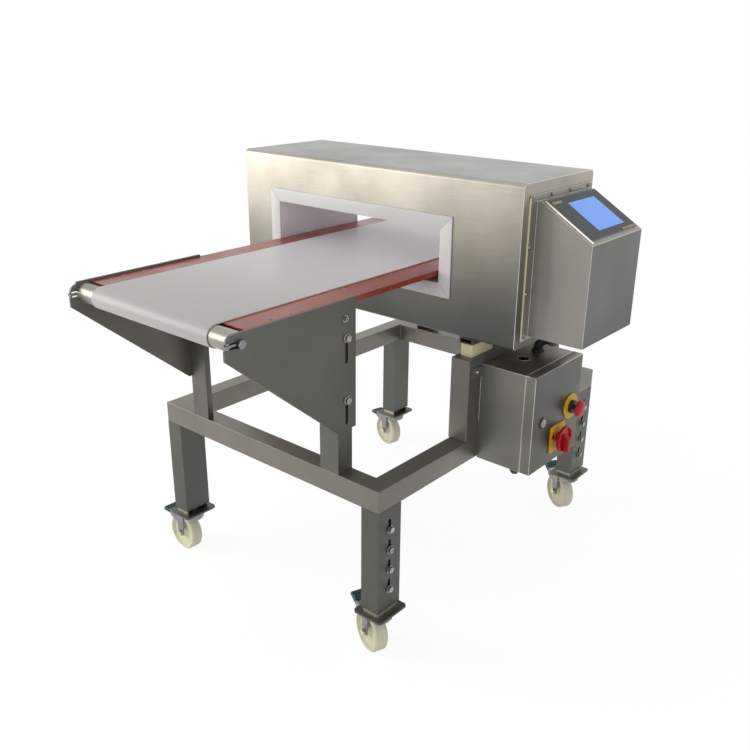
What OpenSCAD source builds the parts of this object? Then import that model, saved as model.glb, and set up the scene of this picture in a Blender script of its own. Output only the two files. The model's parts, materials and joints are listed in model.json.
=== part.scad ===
// Conveyor metal detector for packed food. A wheeled frame carries a belt conveyor, which passes
// through the tunnel of a search head, and an electrical box with a hinged door. The control box
// with its sloped screen is bolted to the head's end.
// X runs with the belt, Y across it and Z up from the floor. Lengths are in millimetres.

/* [Frame] */
// Length of the base frame, along the belt
frame_l = 900; // [860:10:1000]
// Width of the base frame
frame_w = 680; // [660:10:740]
// Height of the rails' upper face above the floor
rail_top = 432; // [410:2:450]
// Width of a rail
rail_w = 45; // [38:1:48]
// Height of a rail
rail_h = 50; // [40:1:60]
// Wall of the rails, posts and beams
tube_wall = 2.5; // [1.5:0.5:4]
// Side of the square tube in the portals under the head
portal_w = 48; // [40:1:50]
// Length of the portals along the belt
portal_l = 305; // [300:1:330]

/* [Legs] */
// Length of a leg tube's section along the belt
leg_x = 72; // [65:1:90]
// Width of a leg tube's section
leg_y = 46; // [40:1:55]
// Wall of a leg tube and of the channel that slides in it
leg_wall = 3; // [2:0.5:4]
// Gap between the leg tube and the foot plate
leg_gap = 10; // [9:0.5:18]
// Length of the inner channel above the foot plate
channel_l = 215; // [205:5:230]
// Length of a foot plate along the belt
foot_x = 91; // [80:1:110]
// Width of a foot plate
foot_y = 76; // [60:1:82]
// Thickness of a foot plate
foot_t = 5; // [3:0.5:8]
// Number of clamp bolts in a leg
leg_bolts = 4; // [2:1:4]
// Distance from one clamp bolt to the next
leg_bolt_pitch = 48; // [44:1:50]
// Length of a slot for a clamp bolt
leg_slot_l = 30; // [29:1:34]
// Diameter of a clamp bolt
bolt_d = 8; // [6:1:8]

/* [Casters] */
// Diameter of a caster wheel
wheel_d = 98; // [90:1:100]
// Width of a caster wheel
wheel_w = 32; // [24:1:34]
// Height from the floor to the underside of the foot plate
caster_h = 125; // [124:1:135]
// Distance from the swivel axis back to the axle
caster_trail = 36; // [26:1:36]
// Angle at which the near caster stands at the infeed end
turn_fr = -21; // [-40:1:40]
// Angle at which the far caster stands at the infeed end
turn_fl = -2; // [-40:1:40]
// Angle at which the near caster stands at the outfeed end
turn_rr = -30; // [-40:1:40]
// Angle at which the far caster stands at the outfeed end
turn_rl = -14; // [-40:1:40]
// Diameter of the axle
axle_d = 12; // [8:1:14]
// Thickness of a fork cheek
fork_t = 2.5; // [2:0.5:3.5]
// Diameter of the swivel bearing
swivel_d = 54; // [48:1:60]
// Angle by which a brake pedal lifts when it is released
pedal_lift = 25; // [15:1:28]

/* [Conveyor] */
// Height of the belt's upper face at its lowest setting
belt_height = 806; // [795:1:830]
// Width of the belt
belt_w = 350; // [300:5:380]
// Thickness of the belt
belt_t = 2; // [1:0.5:3]
// Diameter of the rollers
roller_d = 40; // [36:1:44]
// Reach of each roller's axis past the end of the frame
roller_reach = 246; // [220:2:270]
// Gap between a side plate's outer face and the tunnel's wall
bed_gap = 5.2; // [4:0.1:16]
// Thickness of the slider bed
bed_t = 12; // [8:1:13]
// Thickness of a side plate
plate_t = 5; // [3:0.5:5]
// Reach of a side plate past the conveyor post
plate_past = 6; // [3:1:12]
// Reach of a side plate's nose past the roller axis
nose_l = 34; // [30:1:40]
// Depth of the side plate at its nose
nose_h = 45; // [44:1:60]
// Depth of the side plate at its deep end
plate_h = 274; // [270:2:290]
// Length of the side plate's level lower edge
plate_foot = 54; // [50:1:70]
// Radius of the side plate's upper front corner
nose_r = 20; // [8:1:22]
// Length of a height slot in a side plate
lift_slot_l = 58; // [40:1:60]
// Distance from the upper height slot to the lower one
lift_slot_pitch = 131; // [110:1:140]
// Width of a conveyor post
post_w = 51; // [40:1:56]
// Depth of a conveyor post along the belt
post_d = 42; // [36:1:46]
// Travel of the belt tensioner
takeup = 4; // [2:0.5:4]

/* [Search head] */
// Length of the head along the belt
head_l = 280; // [260:2:290]
// Clear width of the tunnel
tunnel_w = 484; // [482:2:500]
// Clear height of the tunnel
tunnel_h = 116; // [108:2:140]
// Depth of the tunnel's floor below the belt's upper face
tunnel_below = 29; // [28:1:32]
// Depth of the head below the tunnel
head_below = 110; // [100:2:120]
// Height of the head above the tunnel
head_above = 114; // [100:2:140]
// Width of the head past the tunnel on the far side
head_far = 119; // [105:1:130]
// Width of the head past the tunnel on the operator's side
head_near = 195; // [180:1:220]
// Thickness of the head's sheet
sheet_t = 2; // [1:0.5:3]
// Radius of the head's folded edges
fold_r = 9; // [4:1:14]
// Thickness of the tunnel's plastic lining
liner_t = 5; // [3:0.5:8]
// Width of the white frame round the tunnel
trim_w = 30; // [22:1:34]
// Thickness of the white frame
trim_t = 3; // [2:0.5:5]
// Side of a search coil's section
coil_t = 10; // [6:1:14]
// Distance from the middle coil to each outer one
coil_pitch = 60; // [40:2:80]
// Height of the plastic insulating blocks
block_h = 29; // [20:1:36]
// Length of an insulating block
block_l = 83; // [70:1:90]
// Width of an insulating block
block_w = 30; // [24:1:36]
// Height of the steel feet between the blocks and the head
foot_h = 14; // [8:1:18]

/* [Control box] */
// Width of the control box along the belt
control_w = 218; // [200:1:224]
// Depth of the control box below
control_d = 126; // [110:1:140]
// Depth of the control box at the top of its slope
control_top_d = 11; // [8:1:30]
// Height of the control box
control_h = 280; // [260:2:290]
// Height at which the slope starts
slope_from = 210; // [190:2:220]
// Width of the flange along the belt
flange_w = 248; // [240:1:250]
// Height of the flange
flange_h = 301; // [296:1:310]
// Width of the screen
screen_w = 109; // [90:1:120]
// Height of the screen
screen_h = 86; // [60:1:90]

/* [Electrical box] */
// Width of the electrical box along the belt
ebox_w = 205; // [190:1:215]
// Height of the electrical box
ebox_h = 229; // [215:1:240]
// Depth of the electrical box without its door
ebox_d = 112; // [100:1:130]
// Depth of the door
door_d = 24; // [18:1:30]
// Thickness of the electrical box's sheet
ebox_t = 1.5; // [1:0.5:2]
// Radius of the knock-out hole in the top
knockout_r = 12.5; // [10:0.5:16]
// Diameter of the conduit to the head
conduit_d = 22; // [18:1:26]
// Diameter of the stop button's round plate
stop_d = 60; // [50:1:64]
// Diameter of the stop button's cap
cap_d = 40; // [30:1:44]
// Travel of the stop button
stop_travel = 5; // [3:0.5:6]
// Side of the main switch's square plate
switch_w = 64; // [56:1:66]
// Diameter of the main switch's handle
handle_d = 62; // [48:1:64]
// Diameter of the lock's ring
lock_d = 26; // [22:1:30]

/* [Hidden] */
$fn = 48;
// Overrun of every cut
cut = 1;
// Running clearance of a shaft in its bore
run_gap = 0.05;
// Clearance between faces that pass each other
face_gap = 0.3;
// Clearance of the sliding channel in its leg tube, on each side
slide_gap = 0.4;

// Outer faces and heights that the pieces share
flange_t = 3;
head_y0 = -tunnel_w / 2 - head_near;
head_y1 = tunnel_w / 2 + head_far;
tunnel_z0 = belt_height - tunnel_below;
tunnel_z1 = tunnel_z0 + tunnel_h;
head_z0 = tunnel_z0 - head_below;
head_z1 = tunnel_z1 + head_above;
beam_top = head_z0 - foot_h - block_h;
ebox_drop = 4;
ebox_z0 = rail_top - rail_h - ebox_drop;
ebox_z1 = ebox_z0 + ebox_h;

// Legs and clamp bolts
leg_cx = frame_l / 2 - leg_x / 2;
leg_cy = frame_w / 2 - leg_y / 2;
foot_z = caster_h + foot_t;
leg_z0 = foot_z + leg_gap;
foot_r = 8;
leg_slot_w = bolt_d + 1 / 8 * bolt_d;
bolt_r = bolt_d / 2;
washer_r = 9;
washer_t = 1.6;
bolt_head_r = 7.5;
bolt_head_t = 5.5;
nut_t = 6.5;
leg_bolt_up = 48;
leg_bolt_z = leg_z0 + leg_bolt_up;
leg_slot_rise = (leg_slot_l - leg_slot_w) / 2 - cut;

// Casters
wheel_r = wheel_d / 2;
axle_r = axle_d / 2;
fork_gap = 1.5;
fork_in = wheel_w / 2 + fork_gap;
fork_out = fork_in + fork_t;
swivel_r = swivel_d / 2;
race_t = 7;
bowl_t = 15;
bowl_top = caster_h - race_t - face_gap;
bowl_z = bowl_top - bowl_t;
stem_r = 6;
stem_head_r = 10;
stem_head_t = 3;
stem_up = 18;
stem_top = foot_z + stem_up;
axle_boss_r = 10;
pivot_r = 3;
pedal_hub_r = 5;
pedal_angle = 52;
pedal_gap = 3;
pedal_reach = wheel_r + pedal_hub_r + pedal_gap;
pedal_u = caster_trail + pedal_reach * cos(pedal_angle);
pedal_z = wheel_r + pedal_reach * sin(pedal_angle);
pedal_arm_t = 5;
pad_in = 6;
pad_l = 28;
pad_w = 38;
pad_t = 8;
pad_ribs = 4;
pad_rib_r = 1.5;
hub_r = 13;
rim_t = 9;
web_t = 16;
tread_r = 4;

// Conveyor
roller_x = frame_l / 2 + roller_reach;
bed_w = tunnel_w - 2 * (bed_gap + plate_t + face_gap);
post_x0 = -frame_l / 2;
roller_r = roller_d / 2;
belt_gap = 0.3;
belt_steps = 24;
bed_top = belt_height - belt_t - belt_gap;
roller_z = bed_top - roller_r;
bed_x = roller_x - roller_r * 4 / 5;
bed_lip = 2.4;
bed_bevel = 12;
plate_y = bed_w / 2 + face_gap;
plate_out = plate_y + plate_t;
plate_x0 = -roller_x - nose_l;
plate_x1 = post_x0 + post_d + plate_past;
plate_z0 = bed_top - plate_h;
tail_shaft_r = 6;
shaft_slot_w = 2 * tail_shaft_r + 0.6 * face_gap;
end_nut_r = 9;
end_nut_t = 6;
tension_r = 3;
tension_head_r = 5.5;
tension_head_t = 4;
post_out = plate_y - face_gap / 2;
post_drop = 21;
post_top = tunnel_z0 - post_drop;
post_wall = 2.5;
post_lip = 15;
lift_x = post_x0 + post_d / 2;
lift_slot_drop = 73;
lift_slot_top = bed_top - lift_slot_drop;
lift_rest = 5.5;
lift_bolt_z = [for (i = [0, 1]) lift_slot_top - lift_rest - i * lift_slot_pitch];
lift_slot_w = bolt_d + 1 / 8 * bolt_d;
bar_d = 20;
return_in = 4;
return_gap = 3;
return_x = -lift_x - return_in;
return_z = tunnel_z0 + return_gap;
rib_l = 25;
rib_x_shares = [0.72, 0.88];
rib_h = 10;

// Drive at the far end, under the bed
pulley_r = 18;
pulley_w = 14;
pulley_gap = 5;
pulley_y = plate_out + pulley_gap;
pulley_flange_r = 21;
pulley_flange_t = 1.5;
drive_shaft_r = 8;
drive_belt_t = 2;
motor_in = 146;
motor_drop = 97;
motor_x = roller_x - motor_in;
motor_z = roller_z - motor_drop;
gearbox_w = 78;
gearbox_d = 62;
gearbox_r = 8;
motor_r = 36;
motor_l = 150;
motor_fins = 9;
fin_t = 2;
fin_h = 3;
fan_cover_l = 34;
guard_t = 1.5;
guard_r = 26;
guard_d = 26;

// Head
head_r = fold_r;
former_gap = 22;
seat_w = 34;
seat_over = 6;
seat_l = block_l + seat_over;
seat_t = 3;
block_in = 21.5;
block_edge = 25;
block_x = portal_l / 2 - block_in - block_l / 2;
block_y = frame_w / 2 - block_edge;
beam_l = portal_l - 2 * portal_w;

// Control box, on the head's end
control_x = 16;
flange_x = 7;
flange_up = 15;
flange_z0 = head_z0 + flange_up;
flange_below = 7;
control_z0 = flange_z0 + flange_below;
control_y = head_y0 - flange_t;
slope_run = control_d - control_top_d;
slope_rise = control_h - slope_from;
slope_len = sqrt(slope_run * slope_run + slope_rise * slope_rise);
slope_angle = atan2(slope_rise, slope_run);
panel_t = 2.5;
panel_up = 4;
panel_sides = 15;
panel_ends = 12;
panel_w = control_w - panel_sides;
panel_h = slope_len - panel_ends;
screen_t = 1;
screen_x = 14;
board_t = 1.6;
board_w = 160;
board_h = 140;
standoff = 12;
standoff_r = 4;
board_parts_shares = [[-0.3, 0.2, 0.25, 0.2], [0.15, 0.2, 0.2, 0.3], [-0.1, -0.25, 0.5, 0.15]];
part_t = 9;

// Glands and conduit
gland_r = 11;
gland_nut_r = 14;
gland_nut_t = 8;
conduit_nut_t = 6;
gland_dome_t = 12;
control_gland_x = -55;
control_gland_in = 40;
control_gland_y = control_y - control_gland_in;
conduit_x = 43;
conduit_in = 52;
conduit_y = -frame_w / 2 - conduit_in;
conduit_top_in = 30;
conduit_top_y = control_y - conduit_top_in;
conduit_core_d = conduit_d - 2;
conduit_rib_l = 3;
conduit_bend_r = 25;
conduit_lean = conduit_y - conduit_top_y;
conduit_rise = control_z0 - ebox_z1 - 2 * gland_nut_t;
knockout_x = -18;
box_gland_x = -78;
box_gland_in = 85;
box_gland_y = -frame_w / 2 - box_gland_in;

// Electrical box
ebox_cx = -2.5;
ebox_x0 = ebox_cx - ebox_w / 2;
ebox_x1 = ebox_cx + ebox_w / 2;
ebox_back = -frame_w / 2;
ebox_front = ebox_back - ebox_d;
ear_l = 28;
ear_h = 24;
ear_in = 14;
lip_w = 12;
gasket_t = 5;
gasket_w = 8;
door_y = ebox_front - face_gap;
door_front = door_y - door_d;
mplate_gap = 8;
mplate_t = 2;
mplate_in = 16;
mplate_face = ebox_back - ebox_t - mplate_gap - mplate_t;
stud_r = 3;
inverter_size_shares = [0.34, 0.5, 0.55];
contactor_size_shares = [0.22, 0.3, 0.5];
stop_side = 61;
stop_up = 114;
stop_x = ebox_cx + stop_side;
stop_z = ebox_z0 + stop_up;
collar_r = 15;
collar_t = 9;
stop_plate_t = 3;
thread_r = 11;
stop_block_w = 30;
stop_block_d = 30;
stem_rod_r = 5;
cap_t = 14;
cap_gap = 1;
cap_z = stop_plate_t + collar_t + stop_travel + cap_gap;
switch_side = 9.5;
switch_up = 56;
switch_x = ebox_cx + switch_side;
switch_z = ebox_z0 + switch_up;
switch_t = 3;
switch_r = 5;
switch_block_w = 42;
switch_block_d = 34;
spindle_r = 5;
handle_t = 18;
handle_base = 6;
handle_rim = 5;
grip_w = 12;
grip_t = 8;
lock_side = 59;
lock_up = 112;
lock_x = ebox_cx - lock_side;
lock_z = ebox_z0 + lock_up;
lock_t = 3;
lock_wall = 3;
lock_back = 6;
barrel_r = 9;
cam_l = 40;
cam_w = 12;
cam_t = 2;
cam_gap = 1.5;
hinge_r = 4.5;
hinge_pin_r = 2;
hinge_l = 48;
hinge_in = 30;
hinge_x = ebox_x1 + hinge_r + face_gap;
hinge_y = (ebox_front + door_y) / 2;
hinge_z = [ebox_z0 + hinge_in, ebox_z1 - hinge_in - hinge_l];

// Middle of the whole machine across the belt, which becomes the origin: the control box reaches
// furthest to one side and the far casters' pedals to the other
pedal_reach_y = max([for (t = [turn_fl, turn_rl])
    leg_cy + (pedal_u + pad_in + pad_l) * cos(t) + pad_w / 2 * abs(sin(t))]);
centre_y = (head_y0 - flange_t - control_d + pedal_reach_y) / 2;

// Shapes that are used again

module placed() {
    translate([0, -centre_y, 0]) children();
}

module both_ends() {
    children();
    mirror([1, 0, 0]) children();
}

module both_sides() {
    children();
    mirror([0, 1, 0]) children();
}

module four_corners() {
    both_ends() both_sides() children();
}

module rounded_rect(x, y, r) {
    square([x - 2 * r, y], center = true);
    square([x, y - 2 * r], center = true);
    for (i = [-1, 1], j = [-1, 1])
        translate([i * (x / 2 - r), j * (y / 2 - r)]) circle(r = r);
}

// An upright slot in the XY plane, long in Y
module slot_2d(length, width) {
    square([width, length - width], center = true);
    for (j = [-1, 1])
        translate([0, j * (length - width) / 2]) circle(d = width);
}

// Turns a flat shape so that it stands in XZ and is as thick as t, from y0 towards +Y
module upright(y0, t) {
    translate([0, y0 + t, 0]) rotate([90, 0, 0]) linear_extrude(t) children();
}

// A box between two corners
module block(lo, hi) {
    translate(lo) cube(hi - lo);
}

// A square or oblong tube that stands on z0, centred in X and Y
module post_tube(x, y, z0, z1, wall) {
    translate([0, 0, z0]) linear_extrude(z1 - z0) difference() {
        square([x, y], center = true);
        square([x - 2 * wall, y - 2 * wall], center = true);
    }
}

// A rail whose ends are cut at 45 degrees, with its outer face on y = 0
module mitred_rail(length) {
    difference() {
        linear_extrude(rail_h)
            polygon([[0, 0], [length, 0], [length - rail_w, rail_w], [rail_w, rail_w]]);
        translate([0, 0, tube_wall]) linear_extrude(rail_h - 2 * tube_wall)
            polygon([[tube_wall - cut, tube_wall], [length - tube_wall + cut, tube_wall],
                [length - rail_w + tube_wall + cut, rail_w - tube_wall],
                [rail_w - tube_wall - cut, rail_w - tube_wall]]);
    }
}

// A hexagon bolt along +Y: its head on the near side, its nut held by the far wall
module clamp_bolt(head_y, nut_y) {
    rotate([-90, 0, 0]) {
        translate([0, 0, head_y]) cylinder(r = washer_r, h = washer_t);
        translate([0, 0, head_y + washer_t]) cylinder(r = bolt_head_r, h = bolt_head_t, $fn = 6);
        translate([0, 0, nut_y]) cylinder(r = bolt_r, h = head_y + washer_t - nut_y);
        translate([0, 0, nut_y - nut_t]) cylinder(r = bolt_head_r, h = nut_t, $fn = 6);
    }
}

// Frame

module frame_rails() {
    color("#8f8d86") placed() translate([0, 0, rail_top - rail_h]) {
        both_sides() translate([-frame_l / 2, -frame_w / 2, 0]) mitred_rail(frame_l);
        both_ends() translate([-frame_l / 2, frame_w / 2, 0]) rotate(-90) mitred_rail(frame_w);
    }
}

module leg_tubes() {
    color("#8f8d86") placed() four_corners() translate([leg_cx, leg_cy, 0]) difference() {
        post_tube(leg_x, leg_y, leg_z0, rail_top - rail_h, leg_wall);
        for (i = [0 : leg_bolts - 1])
            translate([0, 0, leg_bolt_z + leg_slot_rise + i * leg_bolt_pitch])
                upright(leg_y / 2 - leg_wall - cut, leg_wall + 2 * cut) slot_2d(leg_slot_l, leg_slot_w);
    }
}

// A folded post: a web across the belt, a flange along the side plate and a narrow inner lip
module conveyor_post() {
    difference() {
        translate([0, 0, rail_top]) linear_extrude(post_top - rail_top) {
            translate([post_x0, post_out - post_w]) square([post_wall, post_w]);
            translate([post_x0, post_out - post_wall]) square([post_d, post_wall]);
            translate([post_x0, post_out - post_w]) square([post_lip, post_wall]);
        }
        for (z = lift_bolt_z)
            translate([lift_x, post_out - post_wall - cut, z]) rotate([-90, 0, 0])
                cylinder(r = bolt_r + run_gap, h = post_wall + 2 * cut);
    }
}

module conveyor_posts() {
    color("#86847d") placed() four_corners() conveyor_post();
}

module head_posts() {
    color("#8f8d86") placed() four_corners()
        translate([portal_l / 2 - portal_w / 2, frame_w / 2 - portal_w / 2, 0])
            difference() {
                translate([0, 0, rail_top]) linear_extrude(beam_top - rail_top) square(portal_w, center = true);
                translate([0, 0, rail_top - cut]) linear_extrude(beam_top - rail_top - tube_wall + cut)
                    square(portal_w - 2 * tube_wall, center = true);
            }
}

module head_beams() {
    color("#8f8d86") placed() both_sides()
        translate([0, frame_w / 2 - portal_w / 2, beam_top - portal_w / 2]) rotate([0, 90, 0])
            linear_extrude(beam_l, center = true) difference() {
                square(portal_w, center = true);
                square(portal_w - 2 * tube_wall, center = true);
            }
}

module insulator_blocks() {
    color("#e9e2cc") placed() four_corners() translate([block_x, block_y, beam_top])
        linear_extrude(block_h) rounded_rect(block_l, block_w, 1 / 10 * block_w);
}

// A folded steel seat that holds the head on each block
module head_feet() {
    color("#7f776c") placed() four_corners()
        translate([block_x, block_y, beam_top + block_h]) difference() {
            translate([0, 0, foot_h / 2]) cube([seat_l, seat_w, foot_h], center = true);
            translate([0, 0, foot_h / 2])
                cube([seat_l + 2 * cut, seat_w - 2 * seat_t, foot_h - 2 * seat_t], center = true);
        }
}

// Search head

module head_shell() {
    color("#a5a298") placed() difference() {
        translate([0, head_y1, (head_z0 + head_z1) / 2]) rotate([90, 0, 0])
            linear_extrude(head_y1 - head_y0) rounded_rect(head_l, head_z1 - head_z0, head_r);
        translate([0, head_y1 - sheet_t, (head_z0 + head_z1) / 2]) rotate([90, 0, 0])
            linear_extrude(head_y1 - head_y0 - 2 * sheet_t)
                rounded_rect(head_l - 2 * sheet_t, head_z1 - head_z0 - 2 * sheet_t, head_r - sheet_t);
        tunnel_hole(head_l + 2 * cut);
    }
}

// The opening that the lining fills
module tunnel_hole(length) {
    block([-length / 2, -tunnel_w / 2 - liner_t, tunnel_z0 - liner_t],
        [length / 2, tunnel_w / 2 + liner_t, tunnel_z1 + liner_t]);
}

// The cast filling that holds the coils
module head_potting() {
    color("#4b5a50") placed() difference() {
        block([-head_l / 2 + sheet_t + head_r, head_y0 + sheet_t, head_z0 + sheet_t],
            [head_l / 2 - sheet_t - head_r, head_y1 - sheet_t, head_z1 - sheet_t]);
        tunnel_hole(head_l);
        coil_rings();
    }
}

module coil_rings() {
    for (i = [-1 : 1])
        translate([i * coil_pitch - coil_t / 2, 0, (tunnel_z0 + tunnel_z1) / 2]) rotate([90, 0, 90])
            linear_extrude(coil_t) difference() {
                square([tunnel_w + 2 * (liner_t + former_gap + coil_t),
                    tunnel_h + 2 * (liner_t + former_gap + coil_t)], center = true);
                square([tunnel_w + 2 * (liner_t + former_gap),
                    tunnel_h + 2 * (liner_t + former_gap)], center = true);
            }
}

module search_coils() {
    color("#b5702e") placed() coil_rings();
}

module tunnel_liner() {
    color("#f4f4f0") placed() difference() {
        tunnel_hole(head_l);
        block([-head_l / 2 - cut, -tunnel_w / 2, tunnel_z0], [head_l / 2 + cut, tunnel_w / 2, tunnel_z1]);
    }
}

// Four strips with mitred corners on each face of the head
module tunnel_trims() {
    half_y = tunnel_w / 2;
    half_z = tunnel_h / 2;
    color("#f7f7f4") placed() both_ends()
        translate([head_l / 2, 0, (tunnel_z0 + tunnel_z1) / 2]) rotate([90, 0, 90]) linear_extrude(trim_t) {
            both_sides() polygon([[-half_y, half_z], [half_y, half_z],
                [half_y + trim_w, half_z + trim_w], [-half_y - trim_w, half_z + trim_w]]);
            both_ends() polygon([[half_y, -half_z], [half_y, half_z],
                [half_y + trim_w, half_z + trim_w], [half_y + trim_w, -half_z - trim_w]]);
        }
}

// Control box

// Side view of the control box, with Y to the left as x and Z as y, grown or shrunk by t
module control_profile(t) {
    slope_dy = t * (1 - sin(slope_angle)) / cos(slope_angle);
    polygon([[0, t], [control_d - t, t],
        [control_d - t, slope_from - slope_dy],
        [control_top_d - t * tan(45 - slope_angle / 2), control_h - t], [0, control_h - t]]);
}

module control_box() {
    color("#a5a298") placed() {
        difference() {
            union() {
                translate([control_x - control_w / 2, control_y, control_z0]) rotate([90, 0, -90])
                    mirror([0, 0, 1]) linear_extrude(control_w) control_profile(0);
                block([flange_x - flange_w / 2, control_y, flange_z0],
                    [flange_x + flange_w / 2, control_y + flange_t, flange_z0 + flange_h]);
            }
            translate([control_x - control_w / 2 + sheet_t, control_y, control_z0])
                rotate([90, 0, -90]) mirror([0, 0, 1]) linear_extrude(control_w - 2 * sheet_t)
                    control_profile(sheet_t);
            block([control_x - control_w / 2 + sheet_t, control_y - cut, control_z0 + sheet_t],
                [control_x + control_w / 2 - sheet_t, control_y + flange_t + cut, control_z0 + control_h - sheet_t]);
            translate([control_gland_x, control_gland_y, control_z0 - cut])
                cylinder(r = gland_r + run_gap, h = sheet_t + 2 * cut);
            translate([conduit_x, conduit_top_y, control_z0 - cut])
                cylinder(r = conduit_core_d / 3, h = sheet_t + 2 * cut);
        }
    }
}

// Places a flat piece on the slope: x along the belt, y up the slope, z out of it
module on_slope(lift) {
    translate([control_x, control_y - control_d, control_z0 + slope_from]) rotate([slope_angle, 0, 0])
        translate([0, slope_len / 2 + panel_up, lift]) children();
}

module display_panel() {
    color("#3d3f42") placed() on_slope(0) difference() {
        linear_extrude(panel_t) rounded_rect(panel_w, panel_h, panel_t);
        translate([screen_x, 0, panel_t - screen_t]) linear_extrude(screen_t + cut)
            square([screen_w, screen_h], center = true);
    }
}

module display_screen() {
    color("#4f8fe8") placed() on_slope(panel_t - screen_t) translate([screen_x, 0, 0])
        linear_extrude(screen_t) square([screen_w, screen_h], center = true);
}

module control_board() {
    color("#2f7a45") placed()
        translate([control_x, head_y0, control_z0 + control_h / 2 - 1 / 10 * control_h]) rotate([90, 0, 0]) {
            translate([0, 0, standoff]) linear_extrude(board_t) square([board_w, board_h], center = true);
            for (i = [-1, 1], j = [-1, 1])
                translate([i * (board_w / 2 - standoff), j * (board_h / 2 - standoff), 0])
                    cylinder(r = standoff_r, h = standoff);
            for (s = board_parts_shares)
                translate([s[0] * board_w, s[1] * board_h, standoff + board_t]) linear_extrude(part_t)
                    square([s[2] * board_w, s[3] * board_h], center = true);
        }
}

// A threaded body through the wall, a hexagon nut outside and a domed cap, pointing along +Z
module gland(wall) {
    translate([0, 0, -wall - gland_nut_t / 2]) cylinder(r = gland_r, h = wall + gland_nut_t / 2);
    cylinder(r = gland_nut_r, h = gland_nut_t, $fn = 6);
    translate([0, 0, gland_nut_t]) rotate_extrude() polygon([[0, 0], [gland_r, 0],
        [gland_r, gland_dome_t / 2], [gland_r * 2 / 3, gland_dome_t], [0, gland_dome_t]]);
}

module conduit_nut() {
    difference() {
        cylinder(r = gland_nut_r, h = conduit_nut_t, $fn = 6);
        translate([0, 0, -cut]) cylinder(d = conduit_core_d, h = conduit_nut_t + 2 * cut);
    }
}

module cable_glands() {
    color("#25262a") placed() {
        translate([control_gland_x, control_gland_y, control_z0]) mirror([0, 0, 1]) gland(sheet_t);
        translate([box_gland_x, box_gland_y, ebox_z0]) mirror([0, 0, 1]) gland(ebox_t);
        translate([conduit_x, conduit_y, ebox_z1]) conduit_nut();
        translate([conduit_x, conduit_top_y, control_z0]) mirror([0, 0, 1]) conduit_nut();
    }
}

// A rib round the conduit, centred on the origin
module conduit_rib() {
    cylinder(d = conduit_d, h = conduit_rib_l, center = true);
}

// Bend of the conduit from +Z towards -Y, through the angle given, with a rib at each end
module conduit_bend(angle) {
    translate([0, -conduit_bend_r, 0]) {
        rotate([90, 0, 90]) rotate_extrude(angle = angle) translate([conduit_bend_r, 0]) circle(d = conduit_core_d);
        for (a = [0, angle])
            rotate([a, 0, 0]) translate([0, conduit_bend_r, 0]) conduit_rib();
    }
}

// Conduit that rises from the electrical box, leans out and enters the control box from below
module cable_conduit() {
    run = sqrt(pow(conduit_lean - 2 * conduit_bend_r, 2) + pow(conduit_rise, 2));
    bend = atan2(conduit_rise, 2 * conduit_bend_r - conduit_lean) + asin(2 * conduit_bend_r / run) - 90;
    straight = sqrt(run * run - 4 * conduit_bend_r * conduit_bend_r);
    color("#1d1e21") placed() translate([conduit_x, conduit_y, ebox_z1]) {
        cylinder(d = conduit_core_d, h = gland_nut_t);
        translate([0, 0, gland_nut_t]) {
            conduit_bend(bend);
            translate([0, -conduit_bend_r, 0]) rotate([bend, 0, 0]) translate([0, conduit_bend_r, 0])
                cylinder(d = conduit_core_d, h = straight);
            translate([0, -conduit_lean, conduit_rise]) rotate([180, 0, 0]) conduit_bend(bend);
        }
        translate([0, -conduit_lean, gland_nut_t + conduit_rise]) cylinder(d = conduit_core_d, h = gland_nut_t);
    }
}

// Electrical box

// One knuckle of the door's hinge, held by a web to the box's side on the side of +Y or -Y
module knuckle(z0, z1, side) {
    translate([0, 0, z0]) linear_extrude(z1 - z0) {
        translate([hinge_x, hinge_y]) circle(r = hinge_r);
        translate([ebox_x1 - ebox_t, side > 0 ? hinge_y + face_gap : hinge_y - hinge_r])
            square([hinge_x - ebox_x1 + ebox_t, hinge_r - face_gap]);
    }
}

module electrical_box() {
    color("#9b988e") placed() difference() {
        union() {
            for (z = hinge_z) {
                knuckle(z, z + hinge_l / 3, 1);
                knuckle(z + hinge_l * 2 / 3, z + hinge_l, 1);
                translate([hinge_x, hinge_y, z]) cylinder(r = hinge_pin_r, h = hinge_l);
            }
            block([ebox_x0, ebox_front, ebox_z0], [ebox_x1, ebox_back, ebox_z1]);
            for (x = [ebox_x0 - ear_l, ebox_x1], z = [ebox_z0 + ear_in, ebox_z1 - ear_in - ear_h])
                block([x, ebox_back - 2 * ebox_t, z], [x + ear_l, ebox_back, z + ear_h]);
        }
        block([ebox_x0 + ebox_t, ebox_front - cut, ebox_z0 + ebox_t],
            [ebox_x1 - ebox_t, ebox_back - ebox_t, ebox_z1 - ebox_t]);
        for (x = [knockout_x, conduit_x])
            translate([x, conduit_y, ebox_z1 - ebox_t - cut])
                cylinder(r = x == knockout_x ? knockout_r : conduit_core_d / 3, h = ebox_t + 2 * cut);
        translate([box_gland_x, box_gland_y, ebox_z0 - cut])
            cylinder(r = gland_r + run_gap, h = ebox_t + 2 * cut);
    }
    door_frame();
}

// Flat frame set in the mouth of the electrical box: the lock's cam turns behind it
module door_frame() {
    in = ebox_t + face_gap;
    color("#9b988e") placed() difference() {
        block([ebox_x0 + in, ebox_front, ebox_z0 + in], [ebox_x1 - in, ebox_front + ebox_t, ebox_z1 - in]);
        block([ebox_x0 + lip_w, ebox_front - cut, ebox_z0 + lip_w],
            [ebox_x1 - lip_w, ebox_front + ebox_t + cut, ebox_z1 - lip_w]);
    }
}

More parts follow.
